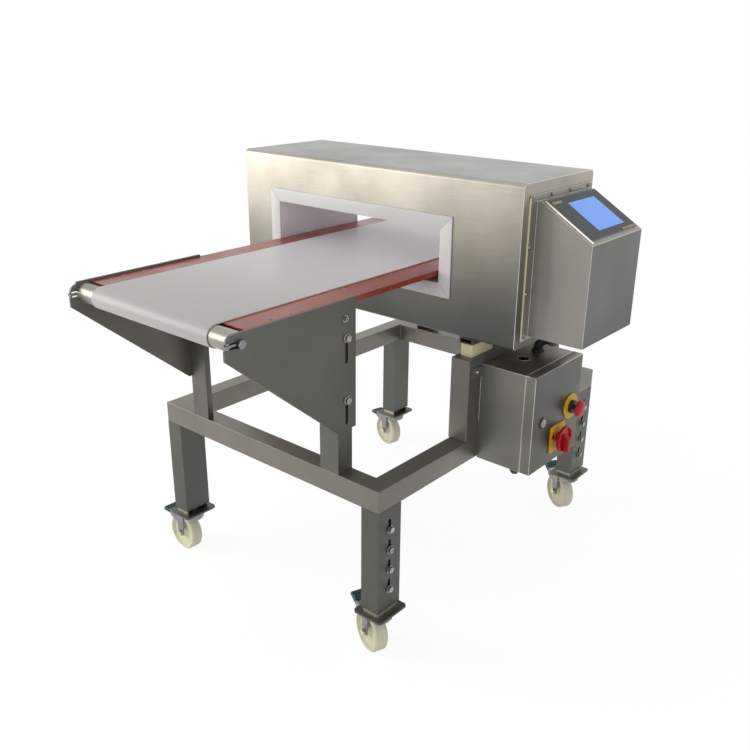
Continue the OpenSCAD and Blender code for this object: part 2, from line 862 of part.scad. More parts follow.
module mounting_plate() {
    y0 = ebox_back - ebox_t;
    color("#b9bcbf") placed() {
        block([ebox_x0 + mplate_in, y0 - mplate_gap - mplate_t, ebox_z0 + mplate_in],
            [ebox_x1 - mplate_in, y0 - mplate_gap, ebox_z1 - mplate_in]);
        for (x = [ebox_x0 + 2 * mplate_in, ebox_x1 - 2 * mplate_in],
                z = [ebox_z0 + 2 * mplate_in, ebox_z1 - 2 * mplate_in])
            translate([x, y0, z]) rotate([90, 0, 0]) cylinder(r = stud_r, h = mplate_gap);
    }
}

module motor_inverter() {
    size = [inverter_size_shares[0] * ebox_w, inverter_size_shares[2] * ebox_d, inverter_size_shares[1] * ebox_h];
    color("#2c2f33") placed()
        block([ebox_x0 + mplate_in + ear_in / 2, mplate_face - size[1], ebox_z1 - mplate_in - size[2]],
            [ebox_x0 + mplate_in + ear_in / 2 + size[0], mplate_face, ebox_z1 - mplate_in]);
}

module contactor() {
    size = [contactor_size_shares[0] * ebox_w, contactor_size_shares[2] * ebox_d, contactor_size_shares[1] * ebox_h];
    color("#cfd0cc") placed()
        block([ebox_x1 - mplate_in - ear_in / 2 - size[0], mplate_face - size[1], ebox_z0 + mplate_in],
            [ebox_x1 - mplate_in - ear_in / 2, mplate_face, ebox_z0 + mplate_in + size[2]]);
}

// A shallow tray, closed in front, with the holes for what it carries
module box_door() {
    color("#9b988e") placed() difference() {
        union() {
            block([ebox_x0, door_front, ebox_z0], [ebox_x1, door_y, ebox_z1]);
            for (z = hinge_z)
                knuckle(z + hinge_l / 3 + face_gap, z + hinge_l * 2 / 3 - face_gap, -1);
        }
        for (z = hinge_z)
            translate([hinge_x, hinge_y, z]) cylinder(r = hinge_pin_r + run_gap, h = hinge_l);
        block([ebox_x0 + ebox_t, door_front + ebox_t, ebox_z0 + ebox_t],
            [ebox_x1 - ebox_t, door_y + cut, ebox_z1 - ebox_t]);
        for (p = [[stop_x, stop_z, thread_r], [switch_x, switch_z, thread_r], [lock_x, lock_z, barrel_r + lock_wall]])
            translate([p[0], door_front - cut, p[1]]) rotate([-90, 0, 0])
                cylinder(r = p[2] + run_gap, h = ebox_t + 2 * cut);
    }
}

module door_gasket() {
    color("#2a2a2a") placed() upright(door_y - gasket_t, gasket_t)
        translate([ebox_cx, (ebox_z0 + ebox_z1) / 2]) difference() {
            square([ebox_w - 2 * ebox_t, ebox_h - 2 * ebox_t], center = true);
            square([ebox_w - 2 * ebox_t - 2 * gasket_w, ebox_h - 2 * ebox_t - 2 * gasket_w], center = true);
        }
}

// Turns a shape that points along +Z so that it points out of the door, at x and z on its face
module on_door(x, z) {
    translate([x, door_front, z]) rotate([90, 0, 0]) children();
}

module stop_base() {
    color("#e6c51c") placed() on_door(stop_x, stop_z) difference() {
        union() {
            cylinder(d = stop_d, h = stop_plate_t);
            cylinder(r = collar_r, h = stop_plate_t + collar_t);
            translate([0, 0, -ebox_t]) cylinder(r = thread_r, h = ebox_t);
            translate([0, 0, -ebox_t - stop_block_d / 2])
                cube([stop_block_w, stop_block_w, stop_block_d], center = true);
        }
        translate([0, 0, stop_plate_t - stop_travel - cap_gap])
            cylinder(r = stem_rod_r + run_gap, h = collar_t + stop_travel + cap_gap + cut);
    }
}

module stop_stem() {
    color("#c9c9c9") placed() on_door(stop_x, stop_z)
        translate([0, 0, stop_plate_t]) cylinder(r = stem_rod_r, h = collar_t + stop_travel + cap_gap + cap_t / 2);
}

// A domed cap with a waist, bored to turn on its stem
module stop_cap() {
    r = cap_d / 2;
    bore = stem_rod_r + run_gap;
    color("#c8202a") placed() on_door(stop_x, stop_z) translate([0, 0, cap_z]) rotate_extrude()
        polygon([[bore, 0], [r * 3 / 5, 0], [r * 4 / 5, cap_t / 4], [r, cap_t / 3], [r, cap_t / 2],
            [r * 9 / 10, cap_t * 3 / 4], [r * 3 / 5, cap_t * 19 / 20], [0, cap_t],
            [0, cap_t / 2 + face_gap], [bore, cap_t / 2 + face_gap]]);
}

module isolator_plate() {
    color("#e6c51c") placed() on_door(switch_x, switch_z) difference() {
        union() {
            linear_extrude(switch_t) rounded_rect(switch_w, switch_w, switch_r);
            translate([0, 0, -ebox_t]) cylinder(r = thread_r, h = ebox_t);
            translate([0, 0, -ebox_t - switch_block_d / 2])
                cube([switch_block_w, switch_block_w, switch_block_d], center = true);
        }
        translate([0, 0, -ebox_t - switch_block_d / 2])
            cylinder(r = spindle_r + run_gap, h = ebox_t + switch_block_d / 2 + switch_t + cut);
    }
}

// Round rotary handle: a cup with a raised grip bar across it, on its spindle
module isolator_handle() {
    color("#cf2a22") placed() on_door(switch_x, switch_z) {
        translate([0, 0, -ebox_t - switch_block_d / 3]) cylinder(r = spindle_r, h = switch_t + switch_block_d / 2);
        translate([0, 0, switch_t + face_gap]) {
            rotate_extrude() polygon([[0, 0], [handle_d / 2, 0], [handle_d / 2, handle_t],
                [handle_d / 2 - handle_rim, handle_t], [handle_d / 2 - handle_rim, handle_base], [0, handle_base]]);
            translate([-grip_w / 2, handle_rim / 2 - handle_d / 2, 0])
                cube([grip_w, handle_d - handle_rim, handle_t + grip_t]);
        }
    }
}

module lock_housing() {
    color("#1f1f21") placed() on_door(lock_x, lock_z) difference() {
        union() {
            cylinder(d = lock_d, h = lock_t);
            translate([0, 0, -ebox_t - lock_back]) cylinder(r = barrel_r + lock_wall, h = ebox_t + lock_back);
        }
        translate([0, 0, -ebox_t - lock_back - cut])
            cylinder(r = barrel_r + run_gap, h = ebox_t + lock_back + lock_t + 2 * cut);
    }
}

// Barrel with a key slot, and the cam that turns behind the lip of the box
module lock_barrel() {
    back = door_d + ebox_t + cam_gap + face_gap;
    color("#b9b6ad") placed() on_door(lock_x, lock_z) difference() {
        union() {
            translate([0, 0, -back]) cylinder(r = barrel_r, h = back + lock_t - face_gap);
            translate([-cam_w / 2, -cam_l, -back - cam_t]) cube([cam_w, cam_l + cam_w / 2, cam_t]);
        }
        translate([-barrel_r / 8, -barrel_r * 2 / 3, lock_t / 2]) cube([barrel_r / 4, barrel_r * 4 / 3, lock_t]);
    }
}

// Conveyor

// Outline of a side plate in XZ, with its nose at the infeed end
module plate_outline() {
    polygon([[plate_x0, bed_top - nose_h], [plate_x0, bed_top - nose_r], [plate_x0 + nose_r, bed_top],
        [plate_x1, bed_top], [plate_x1, plate_z0], [plate_x1 - plate_foot, plate_z0]]);
    translate([plate_x0 + nose_r, bed_top - nose_r]) circle(r = nose_r);
}

// A side plate on the far side, with two height slots; the tail end has an open shaft slot
module side_plate(tail) {
    upright(plate_y, plate_t) difference() {
        plate_outline();
        for (i = [0, 1])
            translate([lift_x, lift_slot_top - lift_slot_l / 2 - i * lift_slot_pitch])
                slot_2d(lift_slot_l, lift_slot_w);
        if (tail) {
            translate([plate_x0 - cut, roller_z - shaft_slot_w / 2])
                square([nose_l + cut + takeup, shaft_slot_w]);
            translate([takeup - roller_x, roller_z]) circle(d = shaft_slot_w);
        } else {
            translate([-roller_x, roller_z]) circle(r = drive_shaft_r + run_gap);
            translate([-motor_x, motor_z]) circle(r = drive_shaft_r + tube_wall);
        }
    }
}

module side_plates() {
    color("#8b8982") placed() {
        both_sides() side_plate(true);
        mirror([1, 0, 0]) both_sides() side_plate(false);
    }
}

module slider_bed() {
    color("#8e4a2c") placed() {
        upright(-bed_w / 2, bed_w) polygon([[-bed_x, bed_top], [bed_x, bed_top],
            [bed_x, bed_top - bed_lip], [bed_x - bed_bevel, bed_top - bed_t],
            [bed_bevel - bed_x, bed_top - bed_t], [-bed_x, bed_top - bed_lip]]);
        block([plate_x1 + face_gap, -plate_out, bed_top - bed_t], [-plate_x1 - face_gap, plate_out, bed_top]);
    }
}

// Half of the belt's filled side view at radius r round a roller, from the top to the tangent
// point below, where the run climbs to the return bar at the height low
function belt_end(r, low) =
    let (reach = roller_x - return_x, rise = roller_z - low,
        last = atan2(rise, reach) - acos(-r / sqrt(reach * reach + rise * rise)))
    [for (i = [0 : belt_steps])
        let (a = 90 + (last - 90) * i / belt_steps)
            [roller_x + r * cos(a), roller_z + r * sin(a)]];

module belt_fill(r, low) {
    right = belt_end(r, low);
    polygon(concat(right, [[return_x, low], [-return_x, low]],
        [for (i = [belt_steps : -1 : 0]) [-right[i][0], right[i][1]]]));
}

module conveyor_belt() {
    color("#f1f0ea") placed() upright(-belt_w / 2, belt_w) difference() {
        belt_fill(roller_r + belt_gap + belt_t, return_z);
        belt_fill(roller_r + belt_gap, return_z + belt_t);
    }
}

// Flat ribs under the bed, and return bars under the belt's lower run
module cross_members() {
    color("#8b8982") placed() {
        for (s = rib_x_shares, e = [-1, 1])
            block([e * s * roller_x - rib_l / 2, -plate_y, bed_top - bed_t - rib_h],
                [e * s * roller_x + rib_l / 2, plate_y, bed_top - bed_t]);
        both_ends() translate([return_x, plate_y, return_z - face_gap - bar_d / 2]) rotate([90, 0, 0])
            cylinder(d = bar_d, h = 2 * plate_y);
    }
}

// Bolts that clamp the side plates to the posts through the height slots
module height_bolts() {
    color("#c9c7c0") placed() four_corners() for (z = lift_bolt_z)
        translate([-lift_x, 0, z]) clamp_bolt(plate_out + face_gap, post_out - post_wall);
}

module tail_axle() {
    end = plate_out + face_gap;
    color("#c9c7c0") placed() translate([-roller_x, 0, roller_z]) {
        rotate([90, 0, 0]) cylinder(r = tail_shaft_r, h = 2 * end, center = true);
        both_sides() translate([0, end, 0]) rotate([-90, 0, 0]) {
            cylinder(r = end_nut_r, h = end_nut_t, $fn = 6);
        }
        both_sides() translate([0, end - face_gap - plate_t / 2, 0]) rotate([0, -90, 0]) {
            cylinder(r = tension_r, h = nose_l - tension_head_t);
        }
        both_sides() translate([tension_head_t - nose_l, end - face_gap - plate_t / 2, 0]) rotate([0, -90, 0])
            cylinder(r = tension_head_r, h = tension_head_t, $fn = 6);
    }
}

module tail_roller() {
    color("#cfcfca") placed() translate([-roller_x, 0, roller_z]) rotate([90, 0, 0]) difference() {
        cylinder(r = roller_r, h = 2 * plate_y - 4 * face_gap, center = true);
        cylinder(r = tail_shaft_r + run_gap, h = 2 * plate_y, center = true);
    }
}

// Drive at the outfeed end

module drive_roller() {
    color("#cfcfca") placed() translate([roller_x, 0, roller_z]) rotate([-90, 0, 0]) {
        cylinder(r = roller_r, h = 2 * plate_y - 4 * face_gap, center = true);
        translate([0, 0, -plate_out - face_gap])
            cylinder(r = drive_shaft_r, h = plate_out + face_gap + pulley_y + pulley_w);
    }
}

// A flanged pulley along +Y on a shaft
module pulley(bore) {
    rotate([-90, 0, 0]) difference() {
        union() {
            cylinder(r = pulley_r, h = pulley_w);
            cylinder(r = pulley_flange_r, h = pulley_flange_t);
            translate([0, 0, pulley_w - pulley_flange_t]) cylinder(r = pulley_flange_r, h = pulley_flange_t);
        }
        translate([0, 0, -cut]) cylinder(r = bore, h = pulley_w + 2 * cut);
    }
}

module drive_pulley() {
    color("#9a9a96") placed() translate([roller_x, pulley_y, roller_z]) pulley(drive_shaft_r);
}

module motor_pulley() {
    color("#9a9a96") placed() {
        translate([motor_x, pulley_y, motor_z]) pulley(drive_shaft_r);
        translate([motor_x, plate_y - gearbox_d / 2, motor_z]) rotate([-90, 0, 0])
            cylinder(r = drive_shaft_r, h = pulley_y + pulley_w - plate_y + gearbox_d / 2);
    }
}

// Filled outline of the drive belt's loop at radius r round the two pulleys
module drive_loop(r) {
    dx = roller_x - motor_x;
    dz = roller_z - motor_z;
    translate([motor_x, motor_z]) rotate(atan2(dz, dx)) {
        circle(r = r);
        translate([sqrt(dx * dx + dz * dz), 0]) circle(r = r);
        translate([0, -r]) square([sqrt(dx * dx + dz * dz), 2 * r]);
    }
}

module timing_belt() {
    y0 = pulley_y + pulley_flange_t + face_gap;
    color("#26272a") placed() upright(y0, pulley_w - 2 * (pulley_flange_t + face_gap)) difference() {
        drive_loop(pulley_r + belt_gap + drive_belt_t);
        drive_loop(pulley_r + belt_gap);
    }
}

module belt_guard() {
    color("#8b8982") placed() difference() {
        upright(plate_out, guard_d) drive_loop(guard_r);
        upright(plate_out - cut, guard_d - guard_t + cut) drive_loop(guard_r - guard_t);
    }
}

module gear_motor() {
    color("#5d6a74") placed() difference() {
        union() {
            upright(plate_y - gearbox_d, gearbox_d) translate([motor_x, motor_z])
                rounded_rect(gearbox_w, gearbox_w, gearbox_r);
            translate([motor_x, plate_y - gearbox_d, motor_z]) rotate([90, 0, 0]) {
                cylinder(r = motor_r, h = motor_l);
                for (i = [0 : motor_fins - 1])
                    translate([0, 0, (i + 1 / 2) * (motor_l - fan_cover_l) / motor_fins])
                        cylinder(r = motor_r + fin_h, h = fin_t);
                translate([0, 0, motor_l - fan_cover_l]) cylinder(r = motor_r + fin_h, h = fan_cover_l);
            }
        }
        translate([motor_x, plate_y - gearbox_d / 2, motor_z]) rotate([-90, 0, 0])
            translate([0, 0, -cut]) cylinder(r = drive_shaft_r + run_gap, h = gearbox_d / 2 + 2 * cut);
    }
}

// Legs and casters

// Moves a shape from the far corner of the tail end to the corner with signs sx and sy
module at_corner(sx, sy) {
    placed() translate([sx * leg_cx, sy * leg_cy, 0]) children();
}

// Channel that slides in the leg, on its foot plate, with its clamp bolts and the caster's stem
module inner_leg(sx, sy) {
    cx = leg_x - 2 * (leg_wall + slide_gap);
    cy = leg_y - 2 * (leg_wall + slide_gap);
    color("#a9a7a0") at_corner(sx, sy) mirror([0, sy < 0 ? 1 : 0, 0]) {
        difference() {
            union() {
                translate([0, 0, foot_z]) linear_extrude(channel_l) difference() {
                    square([cx, cy], center = true);
                    translate([0, -leg_wall]) square([cx - 2 * leg_wall, cy], center = true);
                }
                translate([0, 0, caster_h]) linear_extrude(foot_t) rounded_rect(foot_x, foot_y, foot_r);
            }
            translate([0, 0, caster_h - cut]) cylinder(r = stem_r + run_gap, h = foot_t + 2 * cut);
            for (i = [0 : leg_bolts - 1])
                translate([0, cy / 2 - leg_wall - cut, leg_bolt_z + i * leg_bolt_pitch]) rotate([-90, 0, 0])
                    cylinder(r = bolt_r + run_gap, h = leg_wall + 2 * cut);
        }
        for (i = [0 : leg_bolts - 1])
            translate([0, 0, leg_bolt_z + i * leg_bolt_pitch])
                clamp_bolt(leg_y / 2 + face_gap, cy / 2 - leg_wall);
        caster_stem();
    }
}

// Fixed upper race, stem, its nut above the foot plate and its head under the swivel
module caster_stem() {
    translate([0, 0, caster_h - race_t]) cylinder(r = swivel_r, h = race_t);
    translate([0, 0, bowl_z - stem_head_t - face_gap]) {
        cylinder(r = stem_head_r, h = stem_head_t);
        cylinder(r = stem_r, h = stem_top - bowl_z + stem_head_t + face_gap);
    }
    translate([0, 0, foot_z]) cylinder(r = bolt_head_r * 3 / 2, h = 10 / 8 * bolt_d, $fn = 6);
}

// Moves a caster piece to its corner, turned to where it stands
module at_caster(sx, sy) {
    at_corner(sx, sy) rotate(sx < 0 ? (sy < 0 ? turn_fr : turn_fl) : (sy < 0 ? turn_rr : turn_rl)) children();
}

// Side view of a fork cheek, with the trail as x and Z as y: a strap down to the axle, and an arm
// that holds the pedal's pin
module cheek_outline() {
    top = bowl_z + 1 / 6 * bowl_t;
    polygon([[caster_trail - 3 / 2 * axle_boss_r, top], [pedal_u + pedal_hub_r / 2, top],
        [pedal_u + pedal_hub_r, pedal_z - pedal_hub_r], [pedal_u, pedal_z - 2 * pedal_hub_r],
        [caster_trail + 11 / 10 * axle_boss_r, pedal_z - 3 * pedal_hub_r],
        [caster_trail + axle_boss_r, wheel_r], [caster_trail - axle_boss_r, wheel_r]]);
    translate([caster_trail, wheel_r]) circle(r = axle_boss_r);
}

// A round bar across the fork at trail u and height z
module cross_pin(u, z, r, reach) {
    translate([-reach, u, z]) rotate([0, 90, 0]) cylinder(r = r, h = 2 * reach);
}

module caster_fork(sx, sy) {
    reach = fork_out + bolt_head_t;
    color("#a3a6a8") at_caster(sx, sy) {
        difference() {
            union() {
                translate([0, 0, bowl_z]) rotate_extrude() polygon([[0, 0], [swivel_r * 9 / 10, 0],
                    [swivel_r, bowl_t / 3], [swivel_r, bowl_t], [0, bowl_t]]);
                block([-fork_out, -swivel_r * 2 / 3, bowl_z], [fork_out, pedal_u, bowl_z + bowl_t / 6]);
                for (x = [-fork_out, fork_in])
                    translate([x, 0, 0]) rotate([90, 0, 90]) linear_extrude(fork_t) cheek_outline();
            }
            translate([0, 0, bowl_z - cut]) cylinder(r = stem_r + run_gap, h = bowl_t + 2 * cut);
            cross_pin(caster_trail, wheel_r, axle_r + run_gap, fork_out + cut);
            cross_pin(pedal_u, pedal_z, pivot_r + run_gap, fork_out + cut);
        }
        cross_pin(caster_trail, wheel_r, axle_r, fork_out + face_gap);
        for (x = [-reach - face_gap, fork_out + face_gap])
            translate([x, caster_trail, wheel_r]) rotate([0, 90, 0]) cylinder(r = bolt_head_r, h = bolt_head_t, $fn = 6);
        cross_pin(pedal_u, pedal_z, pivot_r, fork_out + face_gap);
    }
}

module caster_wheel(sx, sy) {
    hw = wheel_w / 2;
    color("#e7e3c9") at_caster(sx, sy) translate([0, caster_trail, wheel_r]) rotate([0, 90, 0])
        rotate_extrude() polygon([[axle_r + run_gap, -hw], [hub_r, -hw], [hub_r, -web_t / 2],
            [wheel_r - rim_t, -web_t / 2], [wheel_r - rim_t + 1 / 4 * rim_t, -hw], [wheel_r - tread_r, -hw],
            [wheel_r, tread_r - hw], [wheel_r, hw - tread_r], [wheel_r - tread_r, hw],
            [wheel_r - rim_t + 1 / 4 * rim_t, hw], [wheel_r - rim_t, web_t / 2], [hub_r, web_t / 2],
            [hub_r, hw], [axle_r + run_gap, hw]]);
}

// Brake pedal on its pivot pin, pressed at 0 degrees and lifted by the angle given
module brake_pedal(sx, sy, lift) {
    w = fork_in - face_gap;
    color("#2b4a52") at_caster(sx, sy) translate([0, pedal_u, pedal_z]) rotate([lift, 0, 0])
        difference() {
            union() {
                cross_pin(0, 0, pedal_hub_r, w);
                block([-w, 0, -pedal_arm_t / 2], [w, pad_in + pad_l / 3, pedal_arm_t / 2]);
                block([-pad_w / 2, pad_in, -pad_t / 2], [pad_w / 2, pad_in + pad_l, pad_t / 2]);
                for (i = [0 : pad_ribs - 1])
                    translate([0, pad_in + (i + 1 / 2) * pad_l / pad_ribs, pad_t / 2])
                        cross_pin(0, 0, pad_rib_r, pad_w / 2);
            }
            cross_pin(0, 0, pivot_r + run_gap, w + cut);
        }
}

module inner_leg_fr() inner_leg(-1, -1);
module inner_leg_fl() inner_leg(-1, 1);
module inner_leg_rr() inner_leg(1, -1);
module inner_leg_rl() inner_leg(1, 1);
module caster_fork_fr() caster_fork(-1, -1);
module caster_fork_fl() caster_fork(-1, 1);
module caster_fork_rr() caster_fork(1, -1);
module caster_fork_rl() caster_fork(1, 1);
module caster_wheel_fr() caster_wheel(-1, -1);
module caster_wheel_fl() caster_wheel(-1, 1);
module caster_wheel_rr() caster_wheel(1, -1);
module caster_wheel_rl() caster_wheel(1, 1);
module brake_pedal_fr() brake_pedal(-1, -1, pedal_lift);
module brake_pedal_fl() brake_pedal(-1, 1, 0);
module brake_pedal_rr() brake_pedal(1, -1, pedal_lift);
module brake_pedal_rl() brake_pedal(1, 1, 0);

frame_rails();
leg_tubes();
conveyor_posts();
head_posts();
head_beams();
insulator_blocks();
head_feet();
head_shell();
head_potting();
search_coils();
tunnel_liner();
tunnel_trims();
control_box();
display_panel();
display_screen();
control_board();
cable_glands();
cable_conduit();
electrical_box();
mounting_plate();
motor_inverter();
contactor();
height_bolts();
side_plates();
slider_bed();
conveyor_belt();
cross_members();
gear_motor();
timing_belt();
belt_guard();
tail_axle();
tail_roller();
drive_roller();
drive_pulley();
motor_pulley();
box_door();
door_gasket();
stop_base();
stop_stem();
stop_cap();
isolator_plate();
isolator_handle();
lock_housing();
lock_barrel();
inner_leg_fr();
caster_fork_fr();
caster_wheel_fr();
brake_pedal_fr();
inner_leg_fl();
caster_fork_fl();
caster_wheel_fl();
brake_pedal_fl();
inner_leg_rr();
caster_fork_rr();
caster_wheel_rr();
brake_pedal_rr();
inner_leg_rl();
caster_fork_rl();
caster_wheel_rl();
brake_pedal_rl();
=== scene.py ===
"""Looks of a conveyor metal detector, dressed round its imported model.

Each sub-assembly is a class that builds its own pieces and dresses them. Lengths are metres.
"""

import json
import logging
import math
from dataclasses import dataclass
from enum import Enum
from typing import Callable, ClassVar, Sequence

import bmesh
import bpy
from mathutils import Matrix, Vector

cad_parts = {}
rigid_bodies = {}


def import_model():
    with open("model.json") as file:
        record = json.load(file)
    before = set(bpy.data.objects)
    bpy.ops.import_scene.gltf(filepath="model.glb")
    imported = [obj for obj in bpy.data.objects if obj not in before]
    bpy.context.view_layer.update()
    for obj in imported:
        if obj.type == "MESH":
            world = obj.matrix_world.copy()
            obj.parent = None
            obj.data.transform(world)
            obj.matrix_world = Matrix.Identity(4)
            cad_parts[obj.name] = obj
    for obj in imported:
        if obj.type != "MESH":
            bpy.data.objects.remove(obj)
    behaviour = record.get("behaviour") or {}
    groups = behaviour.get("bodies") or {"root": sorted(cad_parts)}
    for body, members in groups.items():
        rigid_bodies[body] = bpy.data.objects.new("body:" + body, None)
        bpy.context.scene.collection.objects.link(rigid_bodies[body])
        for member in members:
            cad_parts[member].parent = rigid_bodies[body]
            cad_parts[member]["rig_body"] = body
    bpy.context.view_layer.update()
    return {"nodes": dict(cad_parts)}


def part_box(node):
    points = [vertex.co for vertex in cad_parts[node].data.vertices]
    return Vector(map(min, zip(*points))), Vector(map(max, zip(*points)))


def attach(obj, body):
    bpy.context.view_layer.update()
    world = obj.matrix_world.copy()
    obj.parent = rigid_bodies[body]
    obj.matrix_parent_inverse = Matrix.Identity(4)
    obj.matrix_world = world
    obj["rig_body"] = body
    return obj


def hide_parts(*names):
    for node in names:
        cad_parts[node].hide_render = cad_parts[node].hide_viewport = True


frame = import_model()
LOG = logging.getLogger("metal_detector")
Point = tuple[float, float, float]
Colour = tuple[float, float, float]
Tree = bpy.types.NodeTree
Node = bpy.types.Node
Socket = bpy.types.NodeSocket
Piece = bpy.types.Object
Work = bmesh.types.BMesh
FaceTest = Callable[[Vector, Vector], bool]


class Grain(Enum):
    """Which way the brushed lines of a sheet run on its upright faces."""

    UPRIGHT = "upright"
    ACROSS_BELT = "across_belt"


def srgb(red: float, green: float, blue: float) -> Colour:
    """Turns a colour given in 0 to 255 screen values into linear light.

    Args:
        red: Red screen value.
        green: Green screen value.
        blue: Blue screen value.

    Returns:
        The linear colour.
    """
    def linear(value: float) -> float:
        """Linear light of one screen value."""
        share = value / 255
        return share / 12.92 if share <= 0.04045 else ((share + 0.055) / 1.055) ** 2.4

    return linear(red), linear(green), linear(blue)


# Node helpers


class NodeKit:
    """Adds, joins and sets the nodes of a tree."""

    def __init__(self, tree: Tree) -> None:
        """Keeps the tree that nodes are added to."""
        self.tree = tree

    def feed(self, node: Node, given: dict[str | int, object]) -> None:
        """Joins sockets to a node's inputs, or sets the inputs to values.

        Args:
            node: The node.
            given: A socket or a value for each input, by its name or number.
        """
        for key, value in given.items():
            target = node.inputs[key]
            if isinstance(value, Socket):
                self.tree.links.new(value, target)
            else:
                target.default_value = (*value, 1.0) if target.type == "RGBA" else value

    def add(self, kind: str, given: dict[str | int, object] | None = None,
            **settings: object) -> Node:
        """Adds a node, sets its properties and feeds its inputs.

        Args:
            kind: The node's type name.
            given: A socket or a value for each input, by its name or number.
            **settings: Properties of the node, by name.

        Returns:
            The new node.
        """
        made = self.tree.nodes.new(kind)
        for name, value in settings.items():
            setattr(made, name, value)
        self.feed(made, given or {})
        return made

    def math(self, operation: str, first: object, second: object = 0.0,
             clamp: bool = False) -> Socket:
        """Adds a math node on sockets or numbers and gives its result.

        Args:
            operation: The operation's name.
            first: A socket or a number.
            second: A socket or a number.
            clamp: Keeps the result between 0 and 1.

        Returns:
            The result's socket.
        """
        return self.add("ShaderNodeMath", {0: first, 1: second}, operation=operation,
                        use_clamp=clamp).outputs[0]


class ShaderTree(NodeKit):
    """Textures, sums and mixes in a shader tree."""

    def place(self) -> Socket:
        """Gives the object's own coordinates."""
        return self.add("ShaderNodeTexCoord").outputs["Object"]

    def stretched(self, scale: Point) -> Socket:
        """Gives the object's own coordinates, scaled along each axis."""
        return self.add("ShaderNodeMapping", {"Vector": self.place(), "Scale": scale}).outputs[0]

    def noise(self, vector: Socket, scale: object, detail: float, rough: float = 0.5) -> Socket:
        """Adds a noise texture and gives its value socket.

        Args:
            vector: Coordinates that it reads.
            scale: Noise cells for each unit of the coordinates, a socket or a number.
            detail: Number of octaves.
            rough: How much the small octaves count.

        Returns:
            The value socket, near 0.5 on the mean.
        """
        return self.add("ShaderNodeTexNoise", {"Vector": vector, "Scale": scale, "Detail": detail,
                                               "Roughness": rough}).outputs["Fac"]

    def total(self, first: Socket, weight: float, second: Socket, other_weight: float) -> Socket:
        """Adds two sockets by their weights and clamps the sum between 0 and 1.

        Args:
            first: The first value.
            weight: Its weight.
            second: The second value.
            other_weight: The second value's weight.

        Returns:
            The sum's socket.
        """
        return self.math("ADD", self.math("MULTIPLY", first, weight),
                         self.math("MULTIPLY", second, other_weight), True)

    def spread(self, value: Socket, low: float, high: float,
               to_low: float = 0.0, to_high: float = 1.0) -> Socket:
        """Maps a value from one range to another and clamps it.

        Args:
            value: The socket to map.
            low: Value that becomes to_low.
            high: Value that becomes to_high.
            to_low: Lower end of the result.
            to_high: Upper end of the result.

        Returns:
            The mapped socket.
        """
        return self.add("ShaderNodeMapRange", {
            "Value": value, "From Min": low, "From Max": high,
            "To Min": to_low, "To Max": to_high}).outputs["Result"]

    def mix(self, share: object, first: object, second: object) -> Socket:
        """Mixes two colours, given as sockets or linear colours.

        Args:
            share: Socket or number, 0 for the first colour.
            first: The first colour.
            second: The second colour.

        Returns:
            The mixed colour's socket.
        """
        factor, colour_a, colour_b, result = 0, 6, 7, 2
        return self.add("ShaderNodeMix", {factor: share, colour_a: first, colour_b: second},
                        data_type="RGBA").outputs[result]

    def bump(self, height: Socket, strength: object, distance: float) -> Socket:
        """Gives the normal of a surface raised by a height.

        Args:
            height: The height, from 0 to 1.
            strength: Share of the effect, a socket or a number.
            distance: Height of 1 in metres.

        Returns:
            The normal's socket.
        """
        return self.add("ShaderNodeBump", {"Height": height, "Strength": strength,
                                           "Distance": distance}).outputs["Normal"]

    def white_rays(self) -> Socket:
        """Gives 1 for the rays that see the studio as plain white."""
        path = self.add("ShaderNodeLightPath").outputs
        seen = self.math("MAXIMUM", path["Is Camera Ray"], path["Is Transmission Ray"])
        return self.math("MAXIMUM", seen, path["Is Glossy Ray"])


def new_material(name: str) -> tuple[bpy.types.Material, ShaderTree, Node]:
    """Makes a material with nodes.

    Args:
        name: The material's name.

    Returns:
        The material, a helper on its tree and its Principled BSDF.
    """
    made = bpy.data.materials.new(name)
    made.use_nodes = True
    shader = next(n for n in made.node_tree.nodes if n.type == "BSDF_PRINCIPLED")
    return made, ShaderTree(made.node_tree), shader


# Shader groups


def new_group(name: str, inputs: dict[str, tuple[str, float | Sequence[float]]],
              outputs: dict[str, str]) -> tuple[ShaderTree, Node, Node]:
    """Makes an empty shader group with named sockets.

    Args:
        name: The group's name.
        inputs: Socket type and default of each input, by name.
        outputs: Socket type of each output, by name.

    Returns:
        A helper on the group's tree, its input node and its output node.
    """
    tree = bpy.data.node_groups.new(name, "ShaderNodeTree")
    for label, (kind, value) in inputs.items():
        made = tree.interface.new_socket(name=label, in_out="INPUT", socket_type=kind)
        made.default_value = value
    for label, kind in outputs.items():
        tree.interface.new_socket(name=label, in_out="OUTPUT", socket_type=kind)
    return ShaderTree(tree), tree.nodes.new("NodeGroupInput"), tree.nodes.new("NodeGroupOutput")


